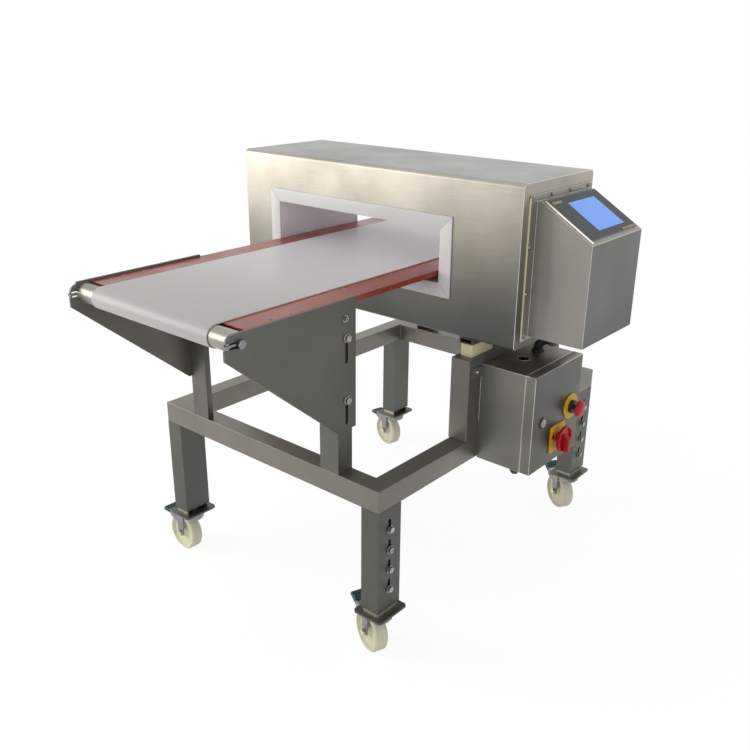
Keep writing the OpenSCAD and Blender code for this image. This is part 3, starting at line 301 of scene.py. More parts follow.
def brushed_lines_group() -> Tree:
    """Fine parallel lines: upright faces take one direction and level faces another.

    Returns:
        A group with the outputs Lines and Normal.
    """
    kit, given, result = new_group(
        "BrushedLines",
        {"Upright Stretch": ("NodeSocketVector", (1.0, 1.0, 0.02)),
         "Level Stretch": ("NodeSocketVector", (1.0, 0.02, 1.0)),
         "Fineness": ("NodeSocketFloat", 900.0),
         "Depth": ("NodeSocketFloat", 0.1)},
        {"Lines": "NodeSocketFloat", "Normal": "NodeSocketVector"})
    lines = []
    for name in ("Upright Stretch", "Level Stretch"):
        scaled = kit.add("ShaderNodeVectorMath", {0: kit.place(), 1: given.outputs[name]},
                         operation="MULTIPLY")
        lines.append(kit.noise(scaled.outputs[0], given.outputs["Fineness"], 3.0, 0.7))
    normal = kit.add("ShaderNodeNewGeometry").outputs["Normal"]
    upward = kit.add("ShaderNodeSeparateXYZ", {0: normal}).outputs["Z"]
    level = kit.math("GREATER_THAN", kit.math("ABSOLUTE", upward), 0.7)
    both = kit.add("ShaderNodeMix", {"Factor": level, "A": lines[0], "B": lines[1]},
                   data_type="FLOAT").outputs["Result"]
    kit.feed(result, {"Lines": both, "Normal": kit.bump(both, given.outputs["Depth"], 0.0004)})
    return kit.tree


def drift_group() -> Tree:
    """Slow uneven patches, such as handling marks and smears.

    Returns:
        A group with the outputs Patches and Specks.
    """
    kit, given, result = new_group(
        "SurfaceDrift",
        {"Size": ("NodeSocketFloat", 0.2), "Speck Size": ("NodeSocketFloat", 0.004)},
        {"Patches": "NodeSocketFloat", "Specks": "NodeSocketFloat"})
    for size, out, detail, low, high in (("Size", "Patches", 3.0, 0.3, 0.7),
                                         ("Speck Size", "Specks", 2.0, 0.55, 0.75)):
        value = kit.noise(kit.place(), kit.math("DIVIDE", 1.0, given.outputs[size]), detail)
        kit.feed(result, {out: kit.spread(value, low, high)})
    return kit.tree


def shade_sweep_group() -> Tree:
    """Painted shade: a slow darkening across a sheet, from one end to the other.

    Returns:
        A group with the output Share, 0 at From and 1 at To along Direction.
    """
    kit, given, result = new_group(
        "SheetSweep",
        {"Direction": ("NodeSocketVector", (0.0, 0.0, -1.0)),
         "From": ("NodeSocketFloat", 0.0), "To": ("NodeSocketFloat", 1.0)},
        {"Share": "NodeSocketFloat"})
    along = kit.add("ShaderNodeVectorMath", {0: kit.place(), 1: given.outputs["Direction"]},
                    operation="DOT_PRODUCT")
    made = kit.add("ShaderNodeMapRange", {
        "Value": along.outputs["Value"], "From Min": given.outputs["From"],
        "From Max": given.outputs["To"]}, interpolation_type="SMOOTHSTEP")
    kit.feed(result, {"Share": made.outputs["Result"]})
    return kit.tree


class Groups:
    """The shader groups that several finishes share, made once."""

    lines: Tree
    drift: Tree
    shade_sweep: Tree

    @classmethod
    def make(cls) -> None:
        """Builds the shared groups."""
        cls.lines = brushed_lines_group()
        cls.drift = drift_group()
        cls.shade_sweep = shade_sweep_group()


# Finishes


@dataclass(frozen=True)
class ShadeSweep:
    """Painted shade on a sheet: along a direction, between two reaches, to a darker tone."""

    direction: Point
    start: float
    end: float
    tone: Colour


@dataclass(frozen=True)
class Finish:
    """A surface finish and the record's material slot that it belongs to."""

    name: str
    slot: str
    colour: Colour
    roughness: float = 0.5
    smoother: ClassVar[float] = 0.0
    rougher: ClassVar[float] = 0.05

    def material(self) -> bpy.types.Material:
        """Gives the finish's material, made on first use."""
        made = bpy.data.materials.get(self.name)
        if made is None:
            made, kit, shader = new_material(self.name)
            made.diffuse_color = (*self.colour, 1.0)
            self.wire(kit, shader)
        return made

    def wire(self, kit: ShaderTree, shader: Node) -> None:
        """Joins the finish's own nodes to the shader.

        Args:
            kit: Helper on the material's tree.
            shader: The Principled BSDF.
        """
        raise NotImplementedError

    def roughened(self, kit: ShaderTree, value: Socket) -> Socket:
        """Spreads a value of 0 to 1 over the roughness on both sides of the finish's own."""
        return kit.spread(value, 0.0, 1.0, self.roughness - self.smoother,
                          self.roughness + self.rougher)

    @staticmethod
    def drift(kit: ShaderTree, size: float, speck: float) -> tuple[Socket, Socket]:
        """Adds the shared drift group with its own sizes.

        Args:
            kit: Helper on the material's tree.
            size: Width of a patch in metres.
            speck: Width of a speck in metres.

        Returns:
            The sockets of the patches and the specks.
        """
        made = kit.add("ShaderNodeGroup", {"Size": size, "Speck Size": speck},
                       node_tree=Groups.drift)
        return made.outputs["Patches"], made.outputs["Specks"]

    @staticmethod
    def swept(kit: ShaderTree, tone: Socket, shade_sweep: ShadeSweep) -> Socket:
        """Mixes a sheet's tone with the darker tone of its painted shade.

        Args:
            kit: Helper on the material's tree.
            tone: The sheet's own colour.
            shade_sweep: Where and to what the tone changes.

        Returns:
            The mixed colour's socket.
        """
        made = kit.add("ShaderNodeGroup", {
            "Direction": shade_sweep.direction, "From": shade_sweep.start, "To": shade_sweep.end},
            node_tree=Groups.shade_sweep)
        return kit.mix(made.outputs["Share"], tone, shade_sweep.tone)


@dataclass(frozen=True)
class BrushedSteel(Finish):
    """Satin stainless sheet with fine lines and slow smears."""

    dark: Colour = (0.1, 0.1, 0.1)
    grain: Grain = Grain.UPRIGHT
    depth: float = 0.06
    fineness: float = 900.0
    stretch: float = 0.015
    metallic: float = 0.8
    patch: float = 0.16
    speck: float = 0.006
    # Painted shade: an optional darkening of the sheet's tone along one direction.
    shade_sweep: ShadeSweep | None = None
    lines_from: ClassVar[float] = 0.3
    lines_to: ClassVar[float] = 0.7
    streak_share: ClassVar[float] = 0.4
    smear_share: ClassVar[float] = 0.6
    line_roughness: ClassVar[float] = 0.14
    smear_roughness: ClassVar[float] = -0.06
    smoother: ClassVar[float] = 0.04

    def wire(self, kit: ShaderTree, shader: Node) -> None:
        """Joins lines, smears and any painted shade to colour, roughness and normal.

        Args:
            kit: Helper on the material's tree.
            shader: The Principled BSDF.
        """
        across = (1, self.stretch, 1)
        upright = (1, 1, self.stretch) if self.grain is Grain.UPRIGHT else across
        lines = kit.add("ShaderNodeGroup", {
            "Upright Stretch": upright, "Level Stretch": across,
            "Fineness": self.fineness, "Depth": self.depth}, node_tree=Groups.lines)
        patches, _ = self.drift(kit, self.patch, self.speck)
        streak = kit.spread(lines.outputs["Lines"], self.lines_from, self.lines_to, 0.0,
                            self.streak_share)
        tone = kit.mix(kit.total(streak, 1.0, patches, self.smear_share), self.dark, self.colour)
        if self.shade_sweep:
            tone = self.swept(kit, tone, self.shade_sweep)
        rough = kit.math(
            "ADD", kit.math("MULTIPLY", lines.outputs["Lines"], self.line_roughness),
            kit.math("MULTIPLY", patches, self.smear_roughness))
        kit.feed(shader, {"Base Color": tone, "Normal": lines.outputs["Normal"],
                          "Roughness": kit.math("ADD", rough, self.roughness - self.smoother),
                          "Metallic": self.metallic})


@dataclass(frozen=True)
class PlatedMetal(Finish):
    """Bright plated or turned metal with faint mottling."""

    dark: Colour = (0.2, 0.2, 0.2)
    mottle: float = 0.008
    patches_to_mottle: ClassVar[float] = 4.0
    patch_share: ClassVar[float] = 0.6
    speck_share: ClassVar[float] = 0.4
    smoother: ClassVar[float] = 0.07
    rougher: ClassVar[float] = 0.12

    def wire(self, kit: ShaderTree, shader: Node) -> None:
        """Joins the mottling to colour, roughness and normal.

        Args:
            kit: Helper on the material's tree.
            shader: The Principled BSDF.
        """
        patches, specks = self.drift(kit, self.mottle * self.patches_to_mottle, self.mottle)
        share = kit.total(patches, self.patch_share, specks, self.speck_share)
        kit.feed(shader, {
            "Base Color": kit.mix(share, self.colour, self.dark),
            "Roughness": self.roughened(kit, share),
            "Normal": kit.bump(specks, 0.08, 0.0003), "Metallic": 1.0})


@dataclass(frozen=True)
class Plastic(Finish):
    """Moulded or machined plastic with a fine surface and faint dirt."""

    dirt: Colour = (0.3, 0.28, 0.25)
    dirt_share: float = 0.12
    patch: float = 0.12
    speck: float = 0.003
    coat: float = 0.0
    gloss: float = 0.5
    specks_to_dirt: ClassVar[float] = 0.7
    surface_fineness: ClassVar[float] = 900.0
    smoother: ClassVar[float] = 0.05
    rougher: ClassVar[float] = 0.08

    def wire(self, kit: ShaderTree, shader: Node) -> None:
        """Joins dirt, specks and the fine surface.

        Args:
            kit: Helper on the material's tree.
            shader: The Principled BSDF.
        """
        patches, specks = self.drift(kit, self.patch, self.speck)
        share = kit.total(patches, self.dirt_share, specks, self.dirt_share * self.specks_to_dirt)
        kit.feed(shader, {
            "Base Color": kit.mix(share, self.colour, self.dirt),
            "Roughness": self.roughened(kit, patches),
            "Normal": kit.bump(kit.noise(kit.place(), self.surface_fineness, 2.0), 0.06, 0.0003),
            "Specular IOR Level": self.gloss, "Coat Weight": self.coat, "Coat Roughness": 0.12})


@dataclass(frozen=True)
class Laminate(Finish):
    """Red-brown phenolic board: layered fibres under a glossy face."""

    dark: Colour = (0.1, 0.03, 0.02)
    stretch: ClassVar[Point] = (0.08, 1.0, 1.0)
    fineness: ClassVar[float] = 260.0
    fibre_share: ClassVar[float] = 0.6
    patch_share: ClassVar[float] = 0.3
    smoother: ClassVar[float] = 0.06
    rougher: ClassVar[float] = 0.1

    def wire(self, kit: ShaderTree, shader: Node) -> None:
        """Joins long fibres along the belt and a clear coat.

        Args:
            kit: Helper on the material's tree.
            shader: The Principled BSDF.
        """
        fibres = kit.noise(kit.stretched(self.stretch), self.fineness, 4.0, 0.6)
        patches, _ = self.drift(kit, 0.09, 0.004)
        layered = kit.spread(fibres, 0.35, 0.65, 0.0, self.fibre_share)
        share = kit.total(layered, 1.0, patches, self.patch_share)
        kit.feed(shader, {
            "Base Color": kit.mix(share, self.colour, self.dark),
            "Roughness": self.roughened(kit, patches),
            "Normal": kit.bump(fibres, 0.02, 0.0002),
            "Specular IOR Level": 0.35, "Coat Weight": 0.2, "Coat Roughness": 0.1})


@dataclass(frozen=True)
class BeltFace(Finish):
    """White conveyor belting with rubbed tracks along its run."""

    worn: Colour = (0.4, 0.39, 0.37)
    # Painted shade: the belt greys towards the infeed end.
    shade_sweep: ShadeSweep = ShadeSweep((-1, 0, 0), 0.1, 0.68, srgb(192, 190, 186))
    stretch: ClassVar[Point] = (0.5, 9.0, 1.0)
    rubbed_share: ClassVar[float] = 0.05
    patch_share: ClassVar[float] = 0.05
    weave_fineness: ClassVar[float] = 1400.0

    def wire(self, kit: ShaderTree, shader: Node) -> None:
        """Joins the rubbed tracks, the infeed end greyed as painted shade, and a faint woven
        surface.

        Args:
            kit: Helper on the material's tree.
            shader: The Principled BSDF.
        """
        rubbed = kit.spread(kit.noise(kit.stretched(self.stretch), 4.0, 5.0, 0.6), 0.48, 0.8)
        patches, _ = self.drift(kit, 0.14, 0.003)
        share = kit.total(rubbed, self.rubbed_share, patches, self.patch_share)
        tone = kit.mix(share, self.colour, self.worn)
        kit.feed(shader, {
            "Base Color": self.swept(kit, tone, self.shade_sweep),
            "Roughness": self.roughened(kit, rubbed),
            "Normal": kit.bump(kit.noise(kit.place(), self.weave_fineness, 1.0), 0.05, 0.0002),
            "Specular IOR Level": 0.35, "Coat Weight": 0.12, "Coat Roughness": 0.12})


@dataclass(frozen=True)
class LitScreen(Finish):
    """A lit display with a slow fall-off towards one corner."""

    dim: Colour = (0.1, 0.25, 0.8)
    glow: float = 0.45
    dim_share: ClassVar[float] = 0.3

    def wire(self, kit: ShaderTree, shader: Node) -> None:
        """Joins the backlight's unevenness to colour and emission.

        Args:
            kit: Helper on the material's tree.
            shader: The Principled BSDF.
        """
        patches, specks = self.drift(kit, 0.09, 0.002)
        shade = kit.mix(kit.math("MULTIPLY", patches, self.dim_share), self.colour, self.dim)
        kit.feed(shader, {
            "Base Color": shade, "Emission Color": shade, "Emission Strength": self.glow,
            "Roughness": self.roughened(kit, specks)})


@dataclass(frozen=True)
class Finishes:
    """Every finish of the machine."""

    # The frame's own steel; it is also lent to rounded edges of legs, posts and side plates as a
    # painted highlight, and to the far plates' inner faces as painted light.
    frame: Finish = BrushedSteel("frame_satin", "frame_steel", srgb(138, 135, 126), 0.42,
                                 srgb(120, 118, 110))
    leg: Finish = BrushedSteel("leg_satin", "frame_steel", srgb(104, 104, 98), 0.45,
                               srgb(92, 92, 87))
    # Painted light: the pale tone brightens the channel where it shows in the shaded gap under the
    # outer tube. Painted shade: above 0.16 m, inside the tube, it turns dark.
    channel: Finish = BrushedSteel("channel_satin", "frame_steel", srgb(226, 220, 202), 0.4,
                                   srgb(204, 198, 180),
                                   shade_sweep=ShadeSweep((0, 0, 1), 0.14, 0.16, srgb(70, 70, 66)))
    # Painted shade and painted floor reflection: the head's steel darkens towards the bottom.
    head: Finish = BrushedSteel("head_satin", "head_steel", srgb(194, 188, 177), 0.4,
                                srgb(154, 149, 138), Grain.ACROSS_BELT, 0.1,
                                shade_sweep=ShadeSweep((0, -0.08, -1), -1.0, -0.6, srgb(90, 92, 88)))
    # Painted shade: a darker copy of the head's steel for its upward faces.
    top: Finish = BrushedSteel("head_top_satin", "head_steel", srgb(170, 170, 165), 0.36,
                               srgb(136, 138, 134), Grain.ACROSS_BELT)
    plate: Finish = BrushedSteel("plate_satin", "plate_steel", srgb(112, 111, 104), 0.44,
                                 srgb(100, 100, 95))
    box: Finish = BrushedSteel("box_satin", "head_steel", srgb(140, 139, 131), 0.5,
                               srgb(126, 126, 119))
    # Painted shade: a darker copy of the box's steel for the door's front faces.
    door: Finish = BrushedSteel("door_satin", "head_steel", srgb(100, 100, 94), 0.42,
                                srgb(88, 88, 83))
    # The control box's own steel; it is also lent to the upward faces of the electrical box and its
    # door as painted light.
    control: Finish = BrushedSteel("control_satin", "head_steel", srgb(164, 161, 154), 0.4,
                                   srgb(146, 144, 137))
    # Painted shade: a darker copy of the control box's steel for its front faces, darker still
    # towards the bottom.
    front: Finish = BrushedSteel("control_front_satin", "head_steel", srgb(122, 122, 118), 0.42,
                                 srgb(108, 109, 105),
                                 shade_sweep=ShadeSweep((0.3, 0, -1), -0.86, -0.66, srgb(98, 100, 97)))
    dull: Finish = BrushedSteel("dull_sheet", "plate_steel", srgb(122, 110, 95), 0.48,
                                srgb(94, 84, 72))
    # Painted highlight: the bright finish of rounded edges; the axle nuts and the knock-out ring
    # wear it too.
    edge: Finish = PlatedMetal("bright_edge", "head_steel", srgb(218, 215, 205), 0.34,
                               srgb(188, 185, 174))
    # Painted highlight and painted reflection: bright bolt heads with strong dark specks for glints
    # and broken reflections.
    stud: Finish = PlatedMetal("bolt_face", "roller_steel", srgb(176, 174, 166), 0.2,
                               srgb(70, 69, 64), 0.004)
    # Painted highlight: near-white metal for the panel's left side and the lip along it.
    lip: Finish = PlatedMetal("panel_lip", "head_steel", srgb(255, 251, 238), 0.32,
                              srgb(250, 236, 206))
    # Painted highlight and painted reflection: bright bolt heads with strong dark specks for glints
    # and broken reflections.
    bolt: Finish = PlatedMetal("bolt_bright", "roller_steel", srgb(196, 194, 186), 0.2,
                               srgb(74, 73, 68), 0.004)
    roller: Finish = BrushedSteel("roller_turned", "roller_steel", srgb(170, 168, 160), 0.34,
                                  srgb(140, 138, 130), Grain.ACROSS_BELT, 0.03)
    zinc: Finish = PlatedMetal("zinc_plate", "zinc", srgb(152, 153, 154), 0.32, srgb(108, 110, 110),
                               0.006)
    trim: Finish = Plastic("white_sheet", "trim_plastic", srgb(232, 229, 228), 0.4, dirt_share=0.08)
    # Painted light: a whiter sheet that brightens the shaded inside of the tunnel.
    liner: Finish = Plastic("liner_sheet", "trim_plastic", srgb(248, 245, 248), 0.4,
                            dirt_share=0.04)
    # Painted light: the ivory is raised to brighten the blocks in the shade under the head.
    ivory: Finish = Plastic("ivory_block", "ivory_plastic", srgb(255, 238, 196), 0.5)
    nylon: Finish = Plastic("wheel_nylon", "wheel_nylon", srgb(216, 218, 196), 0.38,
                            srgb(140, 138, 118), 0.22, 0.03)
    belt: Finish = BeltFace("belt_face", "belt_white", srgb(240, 238, 240), 0.42)
    belt_edge: Finish = Plastic("belt_edge", "belt_white", srgb(226, 218, 190), 0.6)
    bed: Finish = Laminate("bed_laminate", "phenolic", srgb(160, 67, 43), 0.3, srgb(134, 48, 31))
    potting: Finish = Plastic("cast_resin", "potting", srgb(75, 90, 80), 0.6)
    copper: Finish = PlatedMetal("coil_copper", "copper", srgb(190, 120, 60), 0.35,
                                 srgb(140, 78, 38))
    overlay: Finish = Plastic("overlay_film", "overlay", srgb(44, 54, 60), 0.35, dirt_share=0.1,
                              gloss=0.25)
    screen: Finish = LitScreen("screen_lit", "screen_glass", srgb(97, 146, 228), 0.25,
                               srgb(80, 128, 214))
    tag: Finish = Plastic("bare_tag", "overlay", srgb(164, 150, 90), 0.4)
    # Painted highlight: a cream strip for the flange's bright edges, shaped as a seal bead.
    seal: Finish = Plastic("cream_seal", "ivory_plastic", srgb(254, 240, 208), 0.4,
                           srgb(226, 196, 150), 0.2)
    board: Finish = Plastic("board_green", "board_green", srgb(47, 122, 69), 0.4)
    black: Finish = Plastic("black_moulding", "black_plastic", srgb(32, 32, 33), 0.42,
                            srgb(80, 82, 82), 0.2)
    rubber: Finish = Plastic("black_rubber", "black_rubber", srgb(34, 34, 34), 0.75,
                             srgb(80, 78, 74), 0.3)
    enamel: Finish = Plastic("motor_enamel", "motor_paint", srgb(93, 106, 116), 0.35, coat=0.3)
    yellow: Finish = Plastic("signal_yellow", "stop_yellow", srgb(240, 190, 34), 0.4,
                             dirt_share=0.06, gloss=0.25)
    red: Finish = Plastic("signal_red", "stop_red", srgb(190, 20, 34), 0.38, srgb(110, 10, 18),
                          0.15, gloss=0.3)
    teal: Finish = Plastic("pedal_teal", "pedal_teal", srgb(18, 38, 46), 0.35, srgb(80, 96, 100),
                           0.2, coat=0.3)
    grey: Finish = Plastic("light_grey", "grey_plastic", srgb(205, 206, 202), 0.45)


FINISH = Finishes()


@dataclass(frozen=True)
class Edges:
    """Widths of rounded edges, from the thinnest sheet to the welded case."""

    tag: float = 0.00015
    marker: float = 0.0002
    film: float = 0.0004
    moulded: float = 0.0005
    pressed: float = 0.0006
    cut: float = 0.0007
    folded: float = 0.0008
    drawn: float = 0.0009
    tread: float = 0.001
    cast: float = 0.0011
    welded: float = 0.0012


EDGE = Edges()
ROUND_STEPS = 2
NEAR = 1e-4
WELD = 2e-5
FLAT_ANGLE = math.radians(0.6)
EDGE_ANGLE = math.radians(40)


# Mesh helpers


def link_mesh(name: str, mesh: bpy.types.Mesh) -> Piece:
    """Puts a mesh into the scene as an object at the origin.

    Args:
        name: The object's name.
        mesh: The mesh.

    Returns:
        The object.
    """
    made = bpy.data.objects.new(name, mesh)
    bpy.context.scene.collection.objects.link(made)
    return made


def baked(source: Piece, name: str) -> Piece:
    """Turns an object with modifiers into a plain mesh object and removes the source.

    Args:
        source: The object whose modifiers are applied.
        name: Name of the plain object.

    Returns:
        The plain object.
    """
    bpy.context.view_layer.update()
    graph = bpy.context.evaluated_depsgraph_get()
    mesh = bpy.data.meshes.new_from_object(source.evaluated_get(graph), depsgraph=graph)
    bpy.data.objects.remove(source)
    mesh.name = name
    return link_mesh(name, mesh)


def smooth(piece: Piece, angle: float = 32.0) -> None:
    """Shades a piece smooth, apart from edges sharper than the angle in degrees."""
    piece.data.polygons.foreach_set("use_smooth", [True] * len(piece.data.polygons))
    piece.data.set_sharp_from_angle(angle=math.radians(angle))


def fit_out(piece: Piece, finish: Finish, body: str, nodes: Sequence[str] = ()) -> Piece:
    """Gives a finished piece its material and its body, and hides the nodes that it stands for.

    Args:
        piece: The piece, with its place in its mesh.
        finish: Its finish.
        body: The body that it rides on.
        nodes: CAD nodes that it replaces.

    Returns:
        The piece.
    """
    if not piece.data.materials:
        piece.data.materials.append(finish.material())
    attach(piece, body)
    if nodes:
        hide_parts(*nodes)
    LOG.info("piece %s on %s", piece.name, body)
    return piece


def dress(node: str, finish: Finish) -> Piece:
    """Gives a CAD node its material and keeps its shape.

    Args:
        node: The node's name.
        finish: Its finish.

    Returns:
        The node's object.
    """
    made = frame["nodes"][node]
    made.data.materials.clear()
    made.data.materials.append(finish.material())
    LOG.info("node %s wears %s", node, finish.name)
    return made


def body_named(node: str) -> str:
    """Gives the name of the body that a CAD node belongs to."""
    return frame["nodes"][node]["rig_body"]


def box_edges(work: Work, low: Vector, high: Vector) -> list[bmesh.types.BMEdge]:
    """Gives a mesh's edges that lie on an edge of a box.

    Args:
        work: The mesh.
        low: The box's lowest corner.
        high: The box's highest corner.

    Returns:
        The edges.
    """
    def planes(edge: bmesh.types.BMEdge) -> int:
        """Number of the box's faces that an edge lies in."""
        return sum(all(abs(vert.co[axis] - corner[axis]) < NEAR for vert in edge.verts)
                   for axis in range(3) for corner in (low, high))

    return [edge for edge in work.edges if planes(edge) > 1]


def soften(node: str, finish: Finish, edge: float, rim: Finish | None = None,
           parts: Sequence[tuple[Finish, FaceTest]] = (),
           broad: Sequence[tuple[float, Vector, Vector]] = (),
           reshape: Callable[[Work], None] | None = None) -> Piece:
    """Makes a piece from a CAD node with its sharp edges rounded.

    Args:
        node: The CAD node that is copied and replaced.
        finish: The piece's finish.
        edge: Width of the rounding.
        rim: Finish of the rounded edges, where it is another one; it paints a highlight along them.
        parts: Other finishes, each with a test on a face's centre and normal.
        broad: Other roundings, each with the corners of the box on whose edges it lies.
        reshape: A change to the mesh before its edges are rounded.

    Returns:
        The new piece.
    """
    # Rounded edges, the broad roundings too, take the rim finish: a painted highlight.
    rim_highlight_slot = 1 if rim else -1
    mesh = frame["nodes"][node].data.copy()
    mesh.materials.clear()
    for worn in (finish, rim or finish, *(other for other, _ in parts)):
        mesh.materials.append(worn.material())
    work = bmesh.new()
    work.from_mesh(mesh)
    bmesh.ops.remove_doubles(work, verts=work.verts, dist=WELD)
    if reshape:
        reshape(work)
    bmesh.ops.dissolve_limit(work, angle_limit=FLAT_ANGLE, verts=work.verts, edges=work.edges)
    for face in work.faces:
        face.material_index = 0
    for width, low, high in broad:
        bmesh.ops.bevel(work, geom=box_edges(work, low, high), offset=width, segments=ROUND_STEPS,
                        profile=0.5, affect="EDGES", clamp_overlap=False, material=rim_highlight_slot)
    work.to_mesh(mesh)
    work.free()
    if mesh.has_custom_normals:
        mesh.attributes.remove(mesh.attributes["custom_normal"])
    source = link_mesh(node + "_copy", mesh)
    source.data.polygons.foreach_set("use_smooth", [True] * len(mesh.polygons))
    bevel = source.modifiers.new("edges", "BEVEL")
    bevel.width = edge
    bevel.segments = ROUND_STEPS
    bevel.limit_method = "ANGLE"
    bevel.angle_limit = EDGE_ANGLE
    bevel.use_clamp_overlap = True
    bevel.harden_normals = True
    bevel.material = rim_highlight_slot
    piece = baked(source, node + "_dressed")
    for face in piece.data.polygons:
        for i, (_, test) in enumerate(parts):
            if face.material_index != 1 and test(face.center, face.normal):
                face.material_index = i + 2
    return fit_out(piece, finish, body_named(node), [node])


def turned(profile: Sequence[tuple[float, float]], steps: int, ring: bool = False) -> Work:
    """Turns a profile of (radius, height) round the Z axis.

    Args:
        profile: Points from one end to the other.
        steps: Faces round the turn.
        ring: Joins the last point to the first instead of closing the ends.

    Returns:
        A bmesh of the closed turned shape.
    """
    work = bmesh.new()
    rings = []
    for radius, height in profile:
        if radius < NEAR:
            rings.append([work.verts.new((0, 0, height))])
        else:
            rings.append([work.verts.new((radius * math.cos(2 * math.pi * i / steps),
                                          radius * math.sin(2 * math.pi * i / steps), height))
                          for i in range(steps)])
    for low, high in zip(rings, rings[1:] + rings[:1] if ring else rings[1:]):
        for i in range(steps):
            j = (i + 1) % steps
            kept = list(dict.fromkeys((low[i % len(low)], low[j % len(low)],
                                       high[j % len(high)], high[i % len(high)])))
            if len(kept) > 2:
                work.faces.new(kept)
    for end in () if ring else (rings[0], rings[-1]):
        if len(end) > 1:
            work.faces.new(end)
    bmesh.ops.recalc_face_normals(work, faces=work.faces)
    return work


def prism(outline: Sequence[Sequence[float]], near: float, far: float) -> Work:
    """Gives a closed shape from an outline of (y, z), drawn out along X.

    Args:
        outline: Points of the outline.
        near: The shape's one end.
        far: Its other end.

    Returns:
        A bmesh of the shape.
    """
    work = bmesh.new()
    ends = [[work.verts.new((x, *point)) for point in outline] for x in (near, far)]
    for end in ends:
        work.faces.new(end)
    for i in range(len(outline)):
        j = (i + 1) % len(outline)
        work.faces.new((ends[0][i], ends[0][j], ends[1][j], ends[1][i]))
    bmesh.ops.recalc_face_normals(work, faces=work.faces)
    return work


def rounded(work: Work, width: float, steps: int = ROUND_STEPS) -> None:
    """Rounds every edge of a bmesh."""
    bmesh.ops.bevel(work, geom=work.edges, offset=width, segments=steps, profile=0.5,
                    affect="EDGES")


def add_shape(target: Work, shape: Work, place: Matrix | None = None) -> None:
    """Adds a copy of one bmesh to another and frees it.

    Args:
        target: The bmesh that it is added to.
        shape: The bmesh that is added.
        place: Where the shape's own axes stand.
    """
    mesh = bpy.data.meshes.new("part")
    shape.to_mesh(mesh)
    shape.free()
    if place:
        mesh.transform(place)
    target.from_mesh(mesh)
    bpy.data.meshes.remove(mesh)


def add_bar(target: Work, low: Point, high: Point, edge: float,
            place: Matrix | None = None) -> None:
    """Adds a box with rounded edges to a bmesh.

    Args:
        target: The bmesh that it is added to.
        low: The box's lowest corner.
        high: The box's highest corner.
        edge: Width of the rounding.
        place: Where the box's own axes stand.
    """
    bar = bmesh.new()
    bmesh.ops.create_cube(bar, size=1.0)
    for vert in bar.verts:
        vert.co = Vector(a + (share + 0.5) * (b - a) for a, b, share in zip(low, high, vert.co))
    rounded(bar, edge)
    add_shape(target, bar, place)


def piece_of(name: str, work: Work) -> Piece:
    """Makes an object of a bmesh, shaded smooth, and frees the bmesh.

    Args:
        name: The object's name.
        work: The bmesh.

    Returns:
        The object.
    """
    mesh = bpy.data.meshes.new(name)
    work.to_mesh(mesh)
    work.free()
    piece = link_mesh(name, mesh)
    smooth(piece)
    return piece


# Geometry nodes


class NodeRecipe(NodeKit):
    """A Geometry Nodes tree with named inputs."""

    def __init__(self, name: str, inputs: dict[str, float]) -> None:
        """Makes the tree with a geometry input and output, the named inputs and a finish.

        Args:
            name: The tree's name.
            inputs: Default of each size that can be set, by its name.
        """
        super().__init__(bpy.data.node_groups.new(name, "GeometryNodeTree"))
        face = self.tree.interface
        face.new_socket(name="Geometry", in_out="INPUT", socket_type="NodeSocketGeometry")
        for label, value in inputs.items():
            made = face.new_socket(name=label, in_out="INPUT", socket_type="NodeSocketFloat")
            made.default_value = value
        face.new_socket(name="Finish", in_out="INPUT", socket_type="NodeSocketMaterial")
        face.new_socket(name="Geometry", in_out="OUTPUT", socket_type="NodeSocketGeometry")
        self.given = self.tree.nodes.new("NodeGroupInput").outputs
        self.result = self.tree.nodes.new("NodeGroupOutput")

    def close(self, shape: Socket) -> None:
        """Ends the tree in Realize Instances and Set Material."""
        real = self.add("GeometryNodeRealizeInstances", {"Geometry": shape})
        done = self.add("GeometryNodeSetMaterial", {"Geometry": real.outputs[0],
                                                    "Material": self.given["Finish"]})
        self.feed(self.result, {0: done.outputs[0]})

    def run(self, source: Piece, name: str, values: dict[str, object]) -> Piece:
        """Runs the tree on a source object and gives a plain mesh object.

        Args:
            source: Object whose geometry the tree reads; it is removed.
            name: Name of the result.
            values: Input values by name.

        Returns:
            The plain mesh object.
        """
        modifier = source.modifiers.new("recipe", "NODES")
        modifier.node_group = self.tree
        for item in self.tree.interface.items_tree:
            if item.item_type == "SOCKET" and item.in_out == "INPUT" and item.name in values:
                modifier[item.identifier] = values[item.name]
        return baked(source, name)


@dataclass(frozen=True)
class ScrewSize:
    """Size of a screw's head and of its washer."""

    head_radius: float
    head_height: float
    washer_radius: float
    washer_height: float


